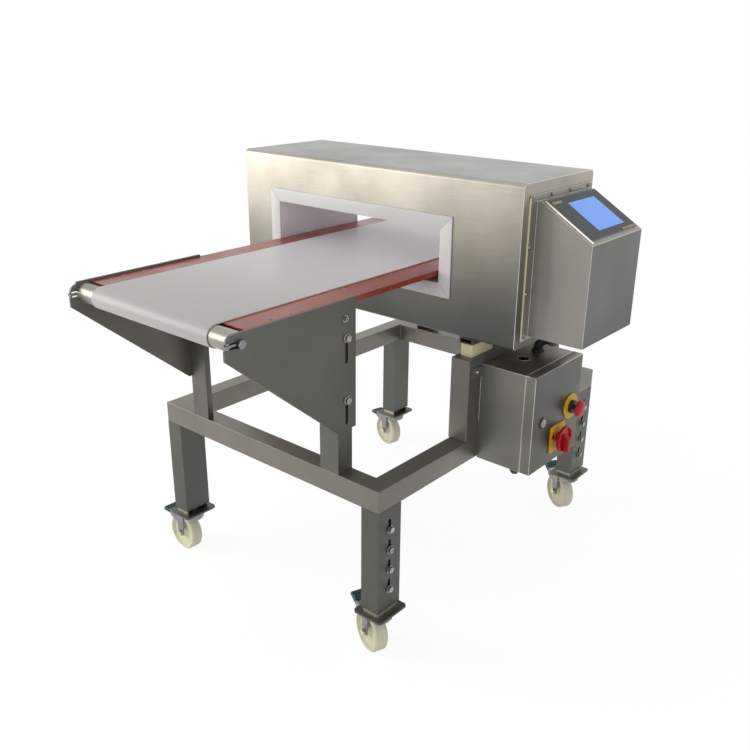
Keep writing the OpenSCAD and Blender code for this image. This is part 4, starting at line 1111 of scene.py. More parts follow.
class SocketScrews(NodeRecipe):
    """Socket screws on washers, on points that carry the direction they face."""

    def __init__(self) -> None:
        """Builds one head with its socket and washer and places it on every point."""
        super().__init__("SocketScrews", {"Head Radius": 0.004, "Head Height": 0.003,
                                          "Washer Radius": 0.006, "Washer Height": 0.001})
        given, round_sides, socket_sides = self.given, 24, 6
        radius, height, thick = given["Head Radius"], given["Head Height"], given["Washer Height"]
        head = self.add("GeometryNodeMeshCone", {
            "Vertices": round_sides, "Radius Bottom": radius,
            "Radius Top": self.math("MULTIPLY", radius, 0.8), "Depth": height})
        socket = self.add("GeometryNodeMeshCylinder", {
            "Vertices": socket_sides, "Radius": self.math("MULTIPLY", radius, 0.48),
            "Depth": height})
        cut = self.add("GeometryNodeMeshBoolean", {
            0: head.outputs["Mesh"], 1: self.lifted(socket.outputs["Mesh"], height)},
            operation="DIFFERENCE", solver="EXACT")
        washer = self.add("GeometryNodeMeshCylinder", {
            "Vertices": round_sides, "Radius": given["Washer Radius"], "Depth": thick})
        whole = self.add("GeometryNodeJoinGeometry", {0: self.lifted(cut.outputs[0], thick)})
        half = self.math("MULTIPLY", thick, 0.5)
        self.feed(whole, {0: self.lifted(washer.outputs["Mesh"], half)})
        way = self.add("GeometryNodeInputNamedAttribute", {"Name": "faces_to"},
                       data_type="FLOAT_VECTOR")
        turn = self.add("FunctionNodeAlignRotationToVector", {"Vector": way.outputs[0]}, axis="Z")
        placed = self.add("GeometryNodeInstanceOnPoints", {
            "Points": given["Geometry"], "Instance": whole.outputs[0], "Rotation": turn.outputs[0]})
        self.close(placed.outputs[0])

    def lifted(self, shape: Socket, height: Socket) -> Socket:
        """Gives a geometry raised along Z by a socket's value."""
        lift = self.add("ShaderNodeCombineXYZ", {"Z": height})
        return self.add("GeometryNodeTransform", {
            "Geometry": shape, "Translation": lift.outputs[0]}).outputs[0]

    def place(self, name: str, spots: Sequence[tuple[Point, Point]], size: ScrewSize,
              finish: Finish, body: str) -> Piece:
        """Makes one piece of screws.

        Args:
            name: The piece's name.
            spots: Place of each screw's seat and the direction that it faces.
            size: Size of the screws.
            finish: Finish of the screws.
            body: Body that they ride on.

        Returns:
            The piece.
        """
        mesh = bpy.data.meshes.new(name)
        mesh.from_pydata([spot for spot, _ in spots], [], [])
        way = mesh.attributes.new("faces_to", "FLOAT_VECTOR", "POINT")
        for i, (_, direction) in enumerate(spots):
            way.data[i].vector = direction
        piece = self.run(link_mesh(name + "_points", mesh), name, {
            "Head Radius": size.head_radius, "Head Height": size.head_height,
            "Washer Radius": size.washer_radius, "Washer Height": size.washer_height,
            "Finish": finish.material()})
        smooth(piece, 30)
        return fit_out(piece, finish, body)


class RibbedHose(NodeRecipe):
    """A hose with rings, swept along a curve."""

    def __init__(self) -> None:
        """Resamples the curve, swells every other pair of points and sweeps a circle along it."""
        super().__init__("RibbedHose", {"Radius": 0.011, "Groove": 0.0015, "Pitch": 0.0012})
        given = self.given
        path = self.add("GeometryNodeResampleCurve", {
            "Curve": given["Geometry"], "Length": given["Pitch"]}, mode="LENGTH")
        index = self.add("GeometryNodeInputIndex").outputs[0]
        deep = self.math("GREATER_THAN", self.math("MODULO", index, 4.0), 1.5)
        width = self.math("SUBTRACT", given["Radius"], self.math("MULTIPLY", deep, given["Groove"]))
        sized = self.add("GeometryNodeSetCurveRadius", {"Curve": path.outputs[0], "Radius": width})
        ring = self.add("GeometryNodeCurvePrimitiveCircle", {"Resolution": 24, "Radius": 1.0})
        tube = self.add("GeometryNodeCurveToMesh", {
            "Curve": sized.outputs[0], "Profile Curve": ring.outputs["Curve"], "Fill Caps": True})
        if "Scale" in tube.inputs:
            self.feed(tube, {"Scale": self.add("GeometryNodeInputRadius").outputs[0]})
        self.close(tube.outputs[0])


# Sub-assemblies


@dataclass
class Sheetwork:
    """Frame, portals and posts: tubes and sheet with rounded corners."""

    tube_edge: float = 0.0014
    sheet_edge: float = 0.0008

    def build(self) -> None:
        """Dresses the frame's nodes."""
        for node in ("frame_rails", "head_posts", "head_beams"):
            soften(node, FINISH.frame, self.tube_edge)
        # Painted highlight: the leg tubes and posts wear the lighter frame steel on their rounded
        # edges.
        soften("leg_tubes", FINISH.leg, self.sheet_edge, rim=FINISH.frame)
        soften("conveyor_posts", FINISH.plate, self.sheet_edge, rim=FINISH.frame)
        # Painted light: the ivory finish is raised against the shade under the head.
        soften("insulator_blocks", FINISH.ivory, self.sheet_edge)
        soften("head_feet", FINISH.dull, self.sheet_edge)
        # Painted highlight and painted reflection: bright specked bolt heads with bright rims.
        soften("height_bolts", FINISH.stud, self.sheet_edge, rim=FINISH.edge)


@dataclass
class Corner:
    """One foot of the machine: inner leg, fork, wheel and brake pedal."""

    name: str
    turn: float
    foot_top: float = 0.130
    foot_thick: float = 0.005
    half_tube: float = 0.023
    slack: float = 0.0002
    bolts_above: float = 0.01
    half_fork: float = 0.0205
    nut_radius: float = 0.012

    def build(self) -> None:
        """Dresses the corner's nodes, with bright bolts and a dark foot plate; the bolts' bright
        specked heads and the bright rims are painted highlights, and the channel's pale tone is
        painted light.
        """
        low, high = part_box(f"inner_leg_{self.name}")
        middle = (low.y + high.y) / 2
        wheel_low, wheel_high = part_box(f"caster_wheel_{self.name}")
        hub = (wheel_low + wheel_high) / 2
        along = Matrix.Rotation(math.radians(self.turn), 3, "Z") @ Vector((1, 0, 0))
        foot_under = self.foot_top - self.foot_thick - self.slack

        def clamp_bolt(place: Vector, _: Vector) -> bool:
            """Tells whether a face is of a bolt head outside the tube."""
            return (place.z > self.foot_top + self.bolts_above
                    and abs(place.y - middle) > self.half_tube)

        def foot(place: Vector, _: Vector) -> bool:
            """Tells whether a face is of the foot plate."""
            return foot_under < place.z < self.foot_top + NEAR

        def race(place: Vector, _: Vector) -> bool:
            """Tells whether a face is of the swivel below the foot plate."""
            return place.z <= foot_under

        def nut(place: Vector, _: Vector) -> bool:
            """Tells whether a face is of a nut at an end of the axle.

            Args:
                place: The face's centre.
                _: The face's normal, not used.

            Returns:
                True for a nut's face.
            """
            out = (place - hub).dot(along)
            off = (place - hub - along * out).length
            return abs(out) > self.half_fork and off < self.nut_radius

        # Painted light on the channel's pale tone and painted shade above where it enters the tube;
        # painted highlights on the bright rims and bolt heads. The axle nuts wear the same bright
        # finish.
        soften(f"inner_leg_{self.name}", FINISH.channel, EDGE.drawn, rim=FINISH.edge,
               parts=((FINISH.stud, clamp_bolt), (FINISH.leg, foot), (FINISH.zinc, race)))
        soften(f"caster_fork_{self.name}", FINISH.zinc, EDGE.pressed, rim=FINISH.edge,
               parts=((FINISH.edge, nut),))
        soften(f"caster_wheel_{self.name}", FINISH.nylon, EDGE.tread)
        soften(f"brake_pedal_{self.name}", FINISH.teal, EDGE.cast, rim=FINISH.edge)


@dataclass
class Casters:
    """The four corners, each with the turn in which its caster stands."""

    turns: tuple[tuple[str, float], ...] = (("fr", -21), ("fl", -2), ("rr", -30), ("rl", -14))

    def build(self) -> None:
        """Dresses each corner."""
        for name, turn in self.turns:
            Corner(name, turn).build()


@dataclass
class SearchHead:
    """Head, its tunnel and its white frames."""

    gap: float = 0.0004
    liner_wall: float = 0.005

    def build(self) -> None:
        """Dresses the head's nodes."""
        # Painted shade on the head's upward faces, painted highlight on its rounded edges.
        soften("head_shell", FINISH.head, EDGE.welded, rim=FINISH.edge,
               parts=((FINISH.top, lambda _, normal: normal.z > 0.9),))
        dress("head_potting", FINISH.potting)
        dress("search_coils", FINISH.copper)
        # Painted light: the liner's whiter sheet brightens the tunnel's shaded inside.
        dress("tunnel_liner", FINISH.liner)
        self.white_frames()

    def white_frames(self) -> None:
        """Builds the mitred strips round both mouths of the tunnel."""
        low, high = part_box("tunnel_trims")
        mouth_low, mouth_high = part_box("tunnel_liner")
        head_low, head_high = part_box("head_shell")
        wall = Vector((0, self.liner_wall, self.liner_wall))
        inner = self.corners(mouth_low + wall, mouth_high - wall)
        outer = self.corners(low, high)
        work = bmesh.new()
        for near, far in ((low.x, head_low.x), (head_high.x, high.x)):
            for i in range(len(inner)):
                j = (i + 1) % len(inner)
                way = (inner[j] - inner[i]).normalized() * self.gap
                quad = (inner[i] + way, inner[j] - way, outer[j] - way, outer[i] + way)
                strip = prism(quad, near, far)
                rounded(strip, EDGE.pressed)
                add_shape(work, strip)
        fit_out(piece_of("tunnel_frames", work), FINISH.trim, "frame", ["tunnel_trims"])

    @staticmethod
    def corners(low: Vector, high: Vector) -> list[Vector]:
        """Gives the four corners of a box's side in y and z."""
        return [Vector((low.y, low.z)), Vector((high.y, low.z)),
                Vector((high.y, high.z)), Vector((low.y, high.z))]


@dataclass
class ControlStation:
    """Control box on the head's end, with its panel, screen, seal strip and screws; the seal strip
    is a painted highlight.
    """

    screw_columns: tuple[float, ...] = (-0.1125, -0.0375, 0.039, 0.115)
    screw_rows: int = 4
    screw: ScrewSize = ScrewSize(0.0036, 0.003, 0.0052, 0.0008)
    inset: float = 0.0065
    flange: float = 0.003
    seal_wide: float = 0.0022
    seal_deep: float = 0.0036
    seal_foot: float = 0.001
    seal_head: float = 0.004
    front_height: float = 0.210
    under_flange: float = 0.007
    front_zone: float = -0.45
    slope: tuple[float, float] = (0.115, 0.070)
    panel_thick: float = 0.0025
    lip_from: float = 0.0895
    lip_wide: float = 0.0042
    lip_high: float = 0.0038
    lip_in: float = 0.003
    tag_thick: float = 0.0004
    tags: tuple[tuple[float, float, float, float], ...] = (
        (-0.075, -0.038, 0.1185, 0.1255), (0.056, 0.1165, 0.0115, 0.0175))

    def build(self, screws: SocketScrews) -> None:
        """Dresses the box and adds the seal strip that paints a highlight, its bare tags, its lip
        and its screws.

        Args:
            screws: Recipe of the screws.
        """
        up = math.atan2(self.slope[1], self.slope[0])
        out = Vector((0, -math.sin(up), math.cos(up)))

        def front(place: Vector, normal: Vector) -> bool:
            """Tells whether a face is of the box's upright front, which wears painted shade."""
            return normal.y < -0.9 and place.y < self.front_zone

        def lip(_: Vector, normal: Vector) -> bool:
            """Tells whether a face is of the panel's lit side, which wears a painted highlight."""
            return normal.x < -0.4

        def side(_: Vector, normal: Vector) -> bool:
            """Tells whether a face is of the panel's other sides, which wear the bright edge
            finish, a painted highlight.
            """
            return normal.x >= -0.4 and normal.dot(out) < 0.6

        # Painted shade on the front faces, painted highlight on the rounded edges.
        soften("control_box", FINISH.control, EDGE.welded, rim=FINISH.edge,
               parts=((FINISH.front, front),))
        # Painted highlight on the panel's sides.
        soften("display_panel", FINISH.overlay, EDGE.film,
               parts=((FINISH.lip, lip), (FINISH.edge, side)))
        dress("display_screen", FINISH.screen)
        dress("control_board", FINISH.board)
        dress("cable_glands", FINISH.black)
        low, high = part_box("control_box")
        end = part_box("head_shell")[0].y
        self.seal(low, high, end)
        self.panel_parts(low, up)
        step = (high.z - low.z - 2 * self.inset) / (self.screw_rows - 1)
        rows = [high.z - self.inset - i * step for i in range(self.screw_rows)]
        first, *between, last = self.screw_columns
        places = [(x, z) for x in (first, last) for z in rows] + [(x, rows[0]) for x in between]
        # Painted highlight and painted reflection: the flange screws wear the bright specked stud
        # finish.
        screws.place("flange_screws", [((x, end - self.flange, z), (0, -1, 0)) for x, z in places],
                     self.screw, FINISH.stud, body_named("control_box"))

    def seal(self, low: Vector, high: Vector, end: float) -> None:
        """Adds the cream seal strip on both sides of the box's flange, a painted highlight of its
        bright edges.

        Args:
            low: The box's lowest corner.
            high: The box's highest corner.
            end: Where the head's end face stands.
        """
        # Painted highlight: a cream strip shaped as a seal bead.
        seal = bmesh.new()
        for x in (low.x - self.seal_wide, high.x):
            add_bar(seal, (x, end - self.seal_deep, low.z + self.seal_foot),
                    (x + self.seal_wide, end, high.z - self.seal_head), EDGE.cut)
        fit_out(piece_of("flange_seal", seal), FINISH.seal, body_named("control_box"))

    def panel_parts(self, low: Vector, up: float) -> None:
        """Adds the bare tags and the lip on the sloping panel; the lip's near-white finish is a
        painted highlight.

        Args:
            low: The box's lowest corner.
            up: The panel's slope in radians.
        """
        foot = low.z + self.under_flange + self.front_height
        slope = Matrix.Translation((0, low.y, foot)) @ Matrix.Rotation(up, 4, "X")
        tags = bmesh.new()
        for x0, x1, v0, v1 in self.tags:
            add_bar(tags, (x0, v0, self.panel_thick),
                    (x1, v1, self.panel_thick + self.tag_thick), EDGE.tag, slope)
        fit_out(piece_of("bare_tags", tags), FINISH.tag, body_named("control_box"))
        # Painted highlight: a bright bar along the panel's left edge.
        lip = bmesh.new()
        reach = math.hypot(*self.slope) - self.lip_in
        add_bar(lip, (-self.lip_from, self.lip_in, 0),
                (self.lip_wide - self.lip_from, reach, self.lip_high), EDGE.drawn, slope)
        fit_out(piece_of("panel_lip", lip), FINISH.lip, body_named("control_box"))


@dataclass
class PowerBox:
    """Electrical box with its door, stop button, main switch and lock."""

    sheet_edge: float = 0.0006
    outer_edge: float = 0.0012
    seam_edge: float = 0.0011
    door_back: float = -0.3811
    shell: tuple[Point, Point] = ((-0.105, -0.3808, 0.378), (0.100, -0.2688, 0.607))
    ear_thick: float = 0.003
    ear_lift: float = 0.011
    ear_stretch: float = 0.006
    low_ears: tuple[float, float] = (0.390, 0.418)
    high_ears: tuple[float, float] = (0.567, 0.595)
    knockout: Point = (-0.018, -0.3208, 0.607)
    knockout_radius: float = 0.0125
    rim_wide: float = 0.002
    rim_reach: tuple[float, float] = (-0.0004, 0.0007)
    ear_screws: tuple[tuple[float, float], ...] = ((-0.1255, 0.593), (0.1205, 0.593))
    ear_screw: ScrewSize = ScrewSize(0.005, 0.004, 0.0075, 0.0012)
    collar: float = 0.009
    stop_plate: float = 0.003
    handle_radius: float = 0.031
    handle_rim: float = 0.005
    handle_seat: float = 0.0003
    neck_radius: float = 0.0115
    neck_flare: float = 0.002
    disc_from: float = 0.0135
    disc_to: float = 0.0205
    dish_floor: float = 0.0155
    dish_slope: float = 0.001
    grip_half: float = 0.0055
    grip_to: float = 0.031
    grip_sunk: float = 0.002
    grip_shares: tuple[float, float] = (0.1, 0.45)
    switch: Point = (0.007, -0.4081, 0.434)
    marker: tuple[float, float] = (-0.0205, 0.0065)
    marker_half: float = 0.0054
    marker_thick: float = 0.0005

    def build(self, screws: SocketScrews) -> None:
        """Dresses the box, the door and what the door carries.

        Args:
            screws: Recipe of the screws.
        """
        low, high = (Vector(corner) for corner in self.shell)
        away, past_hinge = Vector((0, 1, 0)), high.x + 1
        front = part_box("stop_base")[0].y + self.collar

        def top(_: Vector, normal: Vector) -> bool:
            """Tells whether a face looks up."""
            return normal.z > 0.9

        def outer(_: Vector, normal: Vector) -> bool:
            """Tells whether a face looks to the front."""
            return normal.y < -0.9

        def off_plate(place: Vector, _: Vector) -> bool:
            """Tells whether a face of the stop button's base is not of its plate."""
            return not -2 * NEAR < place.y - front < self.stop_plate

        # Painted light: upward faces of the box and door take the lighter control steel. Painted
        # highlight: rounded edges and the broad seam and outer roundings take the bright edge
        # finish.
        soften("electrical_box", FINISH.box, self.sheet_edge, rim=FINISH.edge,
               reshape=self.ears, parts=((FINISH.control, top),),
               broad=((self.outer_edge, low - away, high + away),
                      (self.seam_edge, Vector((low.x, low.y, low.z)),
                       Vector((past_hinge, low.y - 1, high.z)))))
        # Painted shade: the door's front faces take the darker door steel.
        soften("box_door", FINISH.box, self.sheet_edge, rim=FINISH.edge,
               parts=((FINISH.door, outer), (FINISH.control, top)),
               broad=((self.seam_edge, Vector((low.x, self.door_back, low.z)),
                       Vector((past_hinge, 1, high.z))),
                      (self.outer_edge, Vector((low.x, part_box("box_door")[0].y, low.z)),
                       Vector((high.x, 1, high.z)))))
        for node, finish in (("mounting_plate", FINISH.zinc), ("motor_inverter", FINISH.black),
                             ("contactor", FINISH.grey), ("door_gasket", FINISH.rubber),
                             ("stop_stem", FINISH.black)):
            dress(node, finish)
        soften("stop_base", FINISH.yellow, EDGE.film, parts=((FINISH.black, off_plate),))
        soften("stop_cap", FINISH.red, EDGE.pressed)
        soften("isolator_plate", FINISH.yellow, EDGE.moulded)
        # Painted highlight: bright rims on the lock's rounded edges.
        soften("lock_housing", FINISH.black, EDGE.pressed, rim=FINISH.stud)
        soften("lock_barrel", FINISH.stud, EDGE.moulded, rim=FINISH.bolt)
        self.handle()
        self.small_parts(screws)

    def ears(self, work: Work) -> None:
        """Sets the upper ears level with the box's top and folds the lower ones into its back.

        Args:
            work: The box's mesh.
        """
        low, high = (Vector(corner) for corner in self.shell)
        for vert in work.verts:
            place = vert.co
            inside = low.x + NEAR < place.x < high.x - NEAR
            if inside or place.y < high.y - self.ear_thick - NEAR:
                continue
            side, wall = (-1, low.x) if place.x < 0 else (1, high.x)
            if self.low_ears[0] < place.z < self.low_ears[1]:
                place.x = wall
            elif self.high_ears[0] < place.z < self.high_ears[1]:
                place.z += self.ear_lift
                if abs(place.x - wall) > NEAR:
                    place.x += side * self.ear_stretch
        bmesh.ops.remove_doubles(work, verts=work.verts, dist=WELD)

    def handle(self) -> None:
        """Builds the rotary handle: a neck, a dished disc with a rim and a grip across it."""
        rim, edge, neck = self.handle_radius, EDGE.drawn, self.neck_radius
        inner = rim - self.handle_rim
        cup = turned([
            (0, self.handle_seat), (neck, self.handle_seat),
            (neck, self.disc_from - self.neck_flare), (neck + self.neck_flare, self.disc_from),
            (rim - edge, self.disc_from),
            (rim, self.disc_from + edge), (rim, self.disc_to - edge), (rim - edge, self.disc_to),
            (inner + edge, self.disc_to), (inner, self.disc_to - edge),
            (inner - self.dish_slope, self.dish_floor), (0, self.dish_floor)], 64)
        work = bmesh.new()
        place = Matrix.Translation(self.switch) @ Matrix.Rotation(math.pi / 2, 4, "X")
        add_shape(work, cup, place)
        add_shape(work, self.grip(), place)
        fit_out(piece_of("rotary_handle", work), FINISH.red, body_named("isolator_handle"),
                ["isolator_handle"])

    def grip(self) -> Work:
        """Gives the handle's grip: a bar that slopes down into the dish at its upper end."""
        reach = self.handle_radius - self.handle_rim / 2
        foot, meets = self.dish_floor - self.grip_sunk, self.dish_floor + self.dish_slope
        top_end, foot_end = (share * reach for share in self.grip_shares)
        bar = prism([(-reach, foot), (-reach, self.grip_to), (top_end, self.grip_to),
                     (foot_end, meets), (foot_end, foot)], -self.grip_half, self.grip_half)
        rounded(bar, EDGE.welded, 3)
        return bar

    def small_parts(self, screws: SocketScrews) -> None:
        """Adds the knock-out's bright rim, a painted highlight, the switch's red marker and the
        screws of the ears.

        Args:
            screws: Recipe of the screws.
        """
        inner, outer = self.knockout_radius, self.knockout_radius + self.rim_wide
        under, over = self.rim_reach
        # Painted highlight: a bright ring round the knock-out.
        rim = turned([(inner, under), (outer, under), (outer, over), (inner, over)], 40, True)
        work = bmesh.new()
        add_shape(work, rim, Matrix.Translation(self.knockout))
        fit_out(piece_of("knockout_rim", work), FINISH.edge, body_named("electrical_box"))
        mark = bmesh.new()
        x, z = self.switch[0] + self.marker[0], self.switch[2] + self.marker[1]
        half, face = self.marker_half, self.switch[1]
        add_bar(mark, (x - half, face - self.marker_thick, z - half), (x + half, face, z + half),
                EDGE.marker)
        fit_out(piece_of("switch_marker", mark), FINISH.red, body_named("isolator_plate"))
        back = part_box("electrical_box")[1].y - self.ear_thick
        # Painted highlight and painted reflection: bright specked heads on the ear screws.
        screws.place("ear_screws", [((x, back, z), (0, -1, 0)) for x, z in self.ear_screws],
                     self.ear_screw, FINISH.bolt, body_named("electrical_box"))


@dataclass
class Conduit:
    """Ribbed conduit between the two boxes, on the same bends as the model's."""

    bend: float = 0.025
    bend_steps: int = 10
    lean: float = 0.078
    nut: float = 0.008
    radius: float = 0.011
    groove: float = 0.0016
    pitch: float = 0.0011

    def path(self) -> list[Vector]:
        """Gives points along the conduit's centre line."""
        low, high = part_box("cable_conduit")
        start = Vector(((low.x + high.x) / 2, high.y - self.radius, low.z))
        rise, bend = high.z - low.z - 2 * self.nut, self.bend
        run = math.hypot(self.lean - 2 * bend, rise)
        turn = math.atan2(rise, 2 * bend - self.lean) + math.asin(2 * bend / run) - math.pi / 2
        end = Vector((0, -self.lean, rise + 2 * self.nut))
        first = [Vector((0, bend * (math.cos(a) - 1), self.nut + bend * math.sin(a)))
                 for a in (turn * i / self.bend_steps for i in range(self.bend_steps + 1))]
        last = [end - point for point in reversed(first)]
        return [start + point for point in (Vector(), *first, *last, end)]

    def build(self, hose: RibbedHose) -> None:
        """Sweeps the ribbed hose along the path.

        Args:
            hose: Recipe of the hose.
        """
        curve = bpy.data.curves.new("conduit_path", "CURVE")
        curve.dimensions = "3D"
        points, spline = self.path(), curve.splines.new("POLY")
        spline.points.add(len(points) - 1)
        for place, point in zip(spline.points, points):
            place.co = (*point, 1.0)
        source = bpy.data.objects.new("conduit_source", curve)
        bpy.context.scene.collection.objects.link(source)
        piece = hose.run(source, "conduit_hose", {
            "Radius": self.radius, "Groove": self.groove, "Pitch": self.pitch,
            "Finish": FINISH.black.material()})
        smooth(piece, 60)
        fit_out(piece, FINISH.black, "frame", ["cable_conduit"])


@dataclass
class BeltConveyor:
    """Side plates, bed, belt, rollers and drive."""

    roller_radius: float = 0.020
    belt_gap: float = 0.0003
    belt_thick: float = 0.002
    arc_steps: int = 40
    return_x: float = 0.425
    return_z: float = 0.780
    bed_screws: tuple[float, ...] = (0.560, 0.610)
    bed_screw_in: float = 0.017
    bed_screw: ScrewSize = ScrewSize(0.0032, 0.0008, 0.0042, 0.0003)
    plate_screw_at: tuple[float, float] = (0.433, 0.7655)
    plate_screw: ScrewSize = ScrewSize(0.0048, 0.0045, 0.0072, 0.0012)
    far_from: float = 0.2
    plate_lift: float = 0.0045

    def build(self, screws: SocketScrews) -> None:
        """Dresses the conveyor's nodes, builds the belt and adds the screws.

        Args:
            screws: Recipe of the screws.
        """
        def painted_light_inward(place: Vector, normal: Vector) -> bool:
            """Tells whether a face of the far plates looks to the camera; these shaded faces take
            the lighter frame steel as painted light.
            """
            return normal.y < -0.9 and place.y > 0

        # Painted light on the far plates' inner faces, painted highlight on the plates' rounded
        # edges.
        soften("side_plates", FINISH.plate, EDGE.cut, rim=FINISH.frame, reshape=self.far_lip,
               parts=((FINISH.frame, painted_light_inward),))
        soften("slider_bed", FINISH.bed, EDGE.pressed)
        soften("cross_members", FINISH.plate, EDGE.moulded)
        soften("gear_motor", FINISH.enamel, EDGE.folded)
        dress("timing_belt", FINISH.rubber)
        soften("belt_guard", FINISH.plate, EDGE.folded)
        # Painted highlight on the axle's rounded edges.
        soften("tail_axle", FINISH.zinc, EDGE.folded, rim=FINISH.edge)
        dress("tail_roller", FINISH.roller)
        dress("drive_roller", FINISH.roller)
        dress("drive_pulley", FINISH.zinc)
        dress("motor_pulley", FINISH.zinc)
        self.belt()
        self.screws(screws)

    def far_lip(self, work: Work) -> None:
        """Raises the top of the far side plates above the bed's strip.

        Args:
            work: The plates' mesh.
        """
        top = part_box("side_plates")[1].z
        for vert in work.verts:
            if vert.co.y > self.far_from and vert.co.z > top - 2 * NEAR:
                vert.co.z += self.plate_lift

    def screws(self, screws: SocketScrews) -> None:
        """Adds the screws that hold the bed's strips and the side plates.

        Args:
            screws: Recipe of the screws.
        """
        low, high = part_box("slider_bed")
        bed = [((side * x, y, high.z), (0, 0, 1)) for side in (-1, 1) for x in self.bed_screws
               for y in (low.y + self.bed_screw_in, high.y - self.bed_screw_in)]
        screws.place("bed_screws", bed, self.bed_screw, FINISH.zinc, "conveyor")
        low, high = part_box("side_plates")
        x, z = self.plate_screw_at
        sides = [((side * x, y, z), (0, way, 0))
                 for side in (-1, 1) for y, way in ((low.y, -1), (high.y, 1))]
        # Painted highlight and painted reflection: bright specked heads on the plate screws.
        screws.place("plate_screws", sides, self.plate_screw, FINISH.bolt, "conveyor")

    def outline(self, radius: float, low: float,
                centre: tuple[float, float]) -> list[tuple[float, float]]:
        """Gives the belt's outline at one radius round the rollers.

        Args:
            radius: Distance from the roller's axis.
            low: Height of the lower run between the return bars.
            centre: The driven roller's axis, as x and z.

        Returns:
            Points of the closed outline, as x and z.
        """
        reach, rise = centre[0] - self.return_x, centre[1] - low
        last = math.atan2(rise, reach) + math.acos(radius / math.hypot(reach, rise)) - math.pi
        right = []
        for i in range(self.arc_steps + 1):
            a = math.pi / 2 + (last - math.pi / 2) * i / self.arc_steps
            right.append((centre[0] + radius * math.cos(a), centre[1] + radius * math.sin(a)))
        middle = [(self.return_x, low), (-self.return_x, low)]
        return right + middle + [(-x, z) for x, z in reversed(right)]

    def belt(self) -> None:
        """Builds the closed belt, its two faces and its cut edges."""
        low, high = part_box("conveyor_belt")
        roller_low, roller_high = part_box("drive_roller")
        centre = (roller_high.x - self.roller_radius, (roller_low.z + roller_high.z) / 2)
        radius = self.roller_radius + self.belt_gap
        inside = self.outline(radius, self.return_z + self.belt_thick, centre)
        outside = self.outline(radius + self.belt_thick, self.return_z, centre)
        work = bmesh.new()
        near_out, near_in, far_out, far_in = (
            [work.verts.new((x, y, z)) for x, z in line]
            for y in (low.y, high.y) for line in (outside, inside))
        for i in range(len(inside)):
            j = (i + 1) % len(inside)
            work.faces.new((near_out[i], near_out[j], far_out[j], far_out[i]))
            work.faces.new((near_in[j], near_in[i], far_in[i], far_in[j]))
            for out, inner in ((near_out, near_in), (far_out, far_in)):
                cut = work.faces.new((out[i], inner[i], inner[j], out[j]))
                cut.material_index = 1
        bmesh.ops.recalc_face_normals(work, faces=work.faces)
        piece = piece_of("belt_loop", work)
        for finish in (FINISH.belt, FINISH.belt_edge):
            piece.data.materials.append(finish.material())
        fit_out(piece, FINISH.belt, "conveyor", ["conveyor_belt"])


# Studio


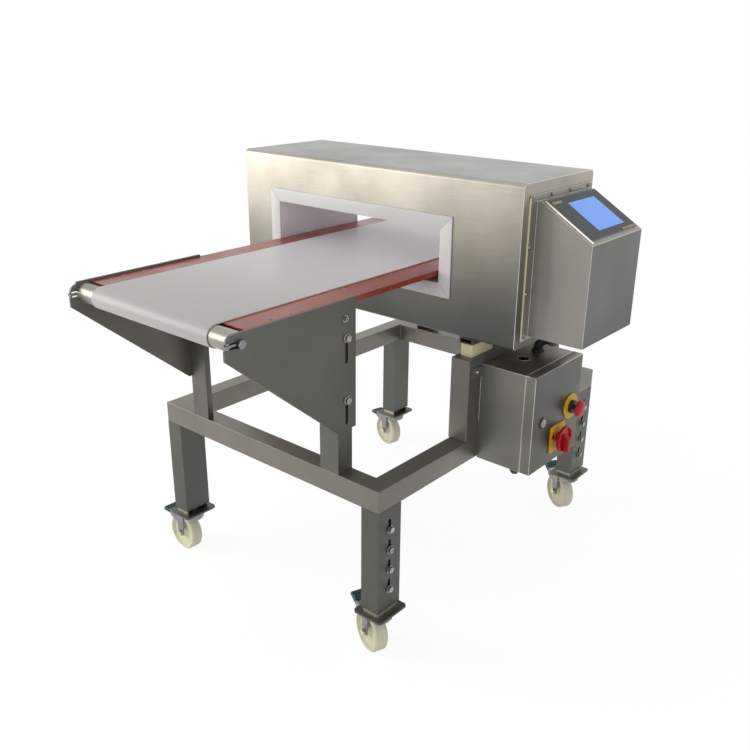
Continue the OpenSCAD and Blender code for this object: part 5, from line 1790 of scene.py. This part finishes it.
@dataclass
class Studio:
    """Floor, lamps, world and the camera that stands where the photographer stood."""

    camera_place: Point = (-1.5904, -1.2234, 1.2705)
    yaw: float = -49.7
    pitch: float = -21.6
    roll: float = 0.5
    focal_pixels: float = 858.8
    frame_pixels: float = 750.0
    world_tint: Colour = (0.97, 0.98, 1)
    world_level: float = 0.62
    floor_reach: float = 14.0
    floor_share: float = 0.82
    floor_glow: float = 1.09

    def camera(self) -> None:
        """Places the camera from its yaw, pitch and roll."""
        yaw, pitch, roll = (math.radians(a) for a in (self.yaw, self.pitch, self.roll))
        ahead = Vector((math.sin(-yaw) * math.cos(pitch), math.cos(-yaw) * math.cos(pitch),
                        math.sin(pitch)))
        right = ahead.cross(Vector((0, 0, 1))).normalized()
        up = right.cross(ahead)
        side = right * math.cos(roll) + up * math.sin(roll)
        top = up * math.cos(roll) - right * math.sin(roll)
        lens = bpy.data.cameras.new("photo_camera")
        lens.sensor_width = 36.0
        lens.lens = self.focal_pixels / self.frame_pixels * lens.sensor_width
        lens.clip_start, lens.clip_end = 0.05, 50.0
        camera = bpy.data.objects.new("photo_camera", lens)
        turned_to = Matrix((side, top, -ahead)).transposed().to_4x4()
        camera.matrix_world = Matrix.Translation(self.camera_place) @ turned_to
        bpy.context.scene.collection.objects.link(camera)
        bpy.context.scene.camera = camera

    @staticmethod
    def lamp(name: str, place: Point, aim: Point, size: float, power: float,
             colour: Colour) -> None:
        """Adds a soft square lamp.

        Args:
            name: The lamp's name.
            place: Where it stands.
            aim: The point that it faces.
            size: Its side.
            power: Its power in watts.
            colour: Its colour.
        """
        light = bpy.data.lights.new(name, "AREA")
        light.size = size
        light.energy = power
        light.color = colour
        made = bpy.data.objects.new(name, light)
        made.location = place
        made.visible_camera = False
        made.rotation_euler = (Vector(aim) - Vector(place)).to_track_quat("-Z", "Y").to_euler()
        bpy.context.scene.collection.objects.link(made)

    def world(self) -> None:
        """Makes a plain world that the camera and glossy rays see as white."""
        made = bpy.data.worlds.new("studio_world")
        bpy.context.scene.world = made
        made.use_nodes = True
        made.node_tree.nodes.clear()
        kit = ShaderTree(made.node_tree)
        plain, white = (kit.add("ShaderNodeBackground", {"Color": colour, "Strength": level})
                        for colour, level in ((self.world_tint, self.world_level),
                                              ((1, 1, 1), 1.0)))
        both = kit.add("ShaderNodeMixShader", {
            0: kit.white_rays(), 1: plain.outputs[0], 2: white.outputs[0]})
        kit.add("ShaderNodeOutputWorld", {"Surface": both.outputs[0]})

    def floor(self) -> None:
        """Makes a wide white floor that keeps a faint shadow."""
        mesh, reach = bpy.data.meshes.new("studio_floor"), self.floor_reach
        mesh.from_pydata([(-reach, -reach, 0), (reach, -reach, 0), (reach, reach, 0),
                          (-reach, reach, 0)], [], [(0, 1, 2, 3)])
        made, kit, shader = new_material("studio_white")
        kit.feed(shader, {"Base Color": (0.9, 0.9, 0.9), "Roughness": 0.9,
                          "Specular IOR Level": 0.1})
        glow = kit.add("ShaderNodeEmission", {"Strength": self.floor_glow})
        both = kit.add("ShaderNodeMixShader", {
            0: kit.math("MULTIPLY", kit.white_rays(), self.floor_share),
            1: shader.outputs[0], 2: glow.outputs[0]})
        output = next(n for n in made.node_tree.nodes if n.type == "OUTPUT_MATERIAL")
        kit.feed(output, {"Surface": both.outputs[0]})
        mesh.materials.append(made)
        link_mesh("studio_floor", mesh)

    def build(self) -> None:
        """Sets up the whole studio."""
        self.camera()
        self.world()
        self.floor()
        self.lamp("left_key", (-1.9, 1.9, 1.3), (-0.1, 0.15, 0.85), 1.3, 26, (1, 0.97, 0.92))
        bpy.context.scene.view_settings.view_transform = "Standard"


def main() -> None:
    """Builds the studio and every sub-assembly."""
    logging.basicConfig(level=logging.INFO, format="%(name)s %(message)s")
    Groups.make()
    Studio().build()
    screws = SocketScrews()
    hose = RibbedHose()
    Sheetwork().build()
    Casters().build()
    SearchHead().build()
    ControlStation().build(screws)
    PowerBox().build(screws)
    Conduit().build(hose)
    BeltConveyor().build(screws)


if __name__ == "__main__":
    main()
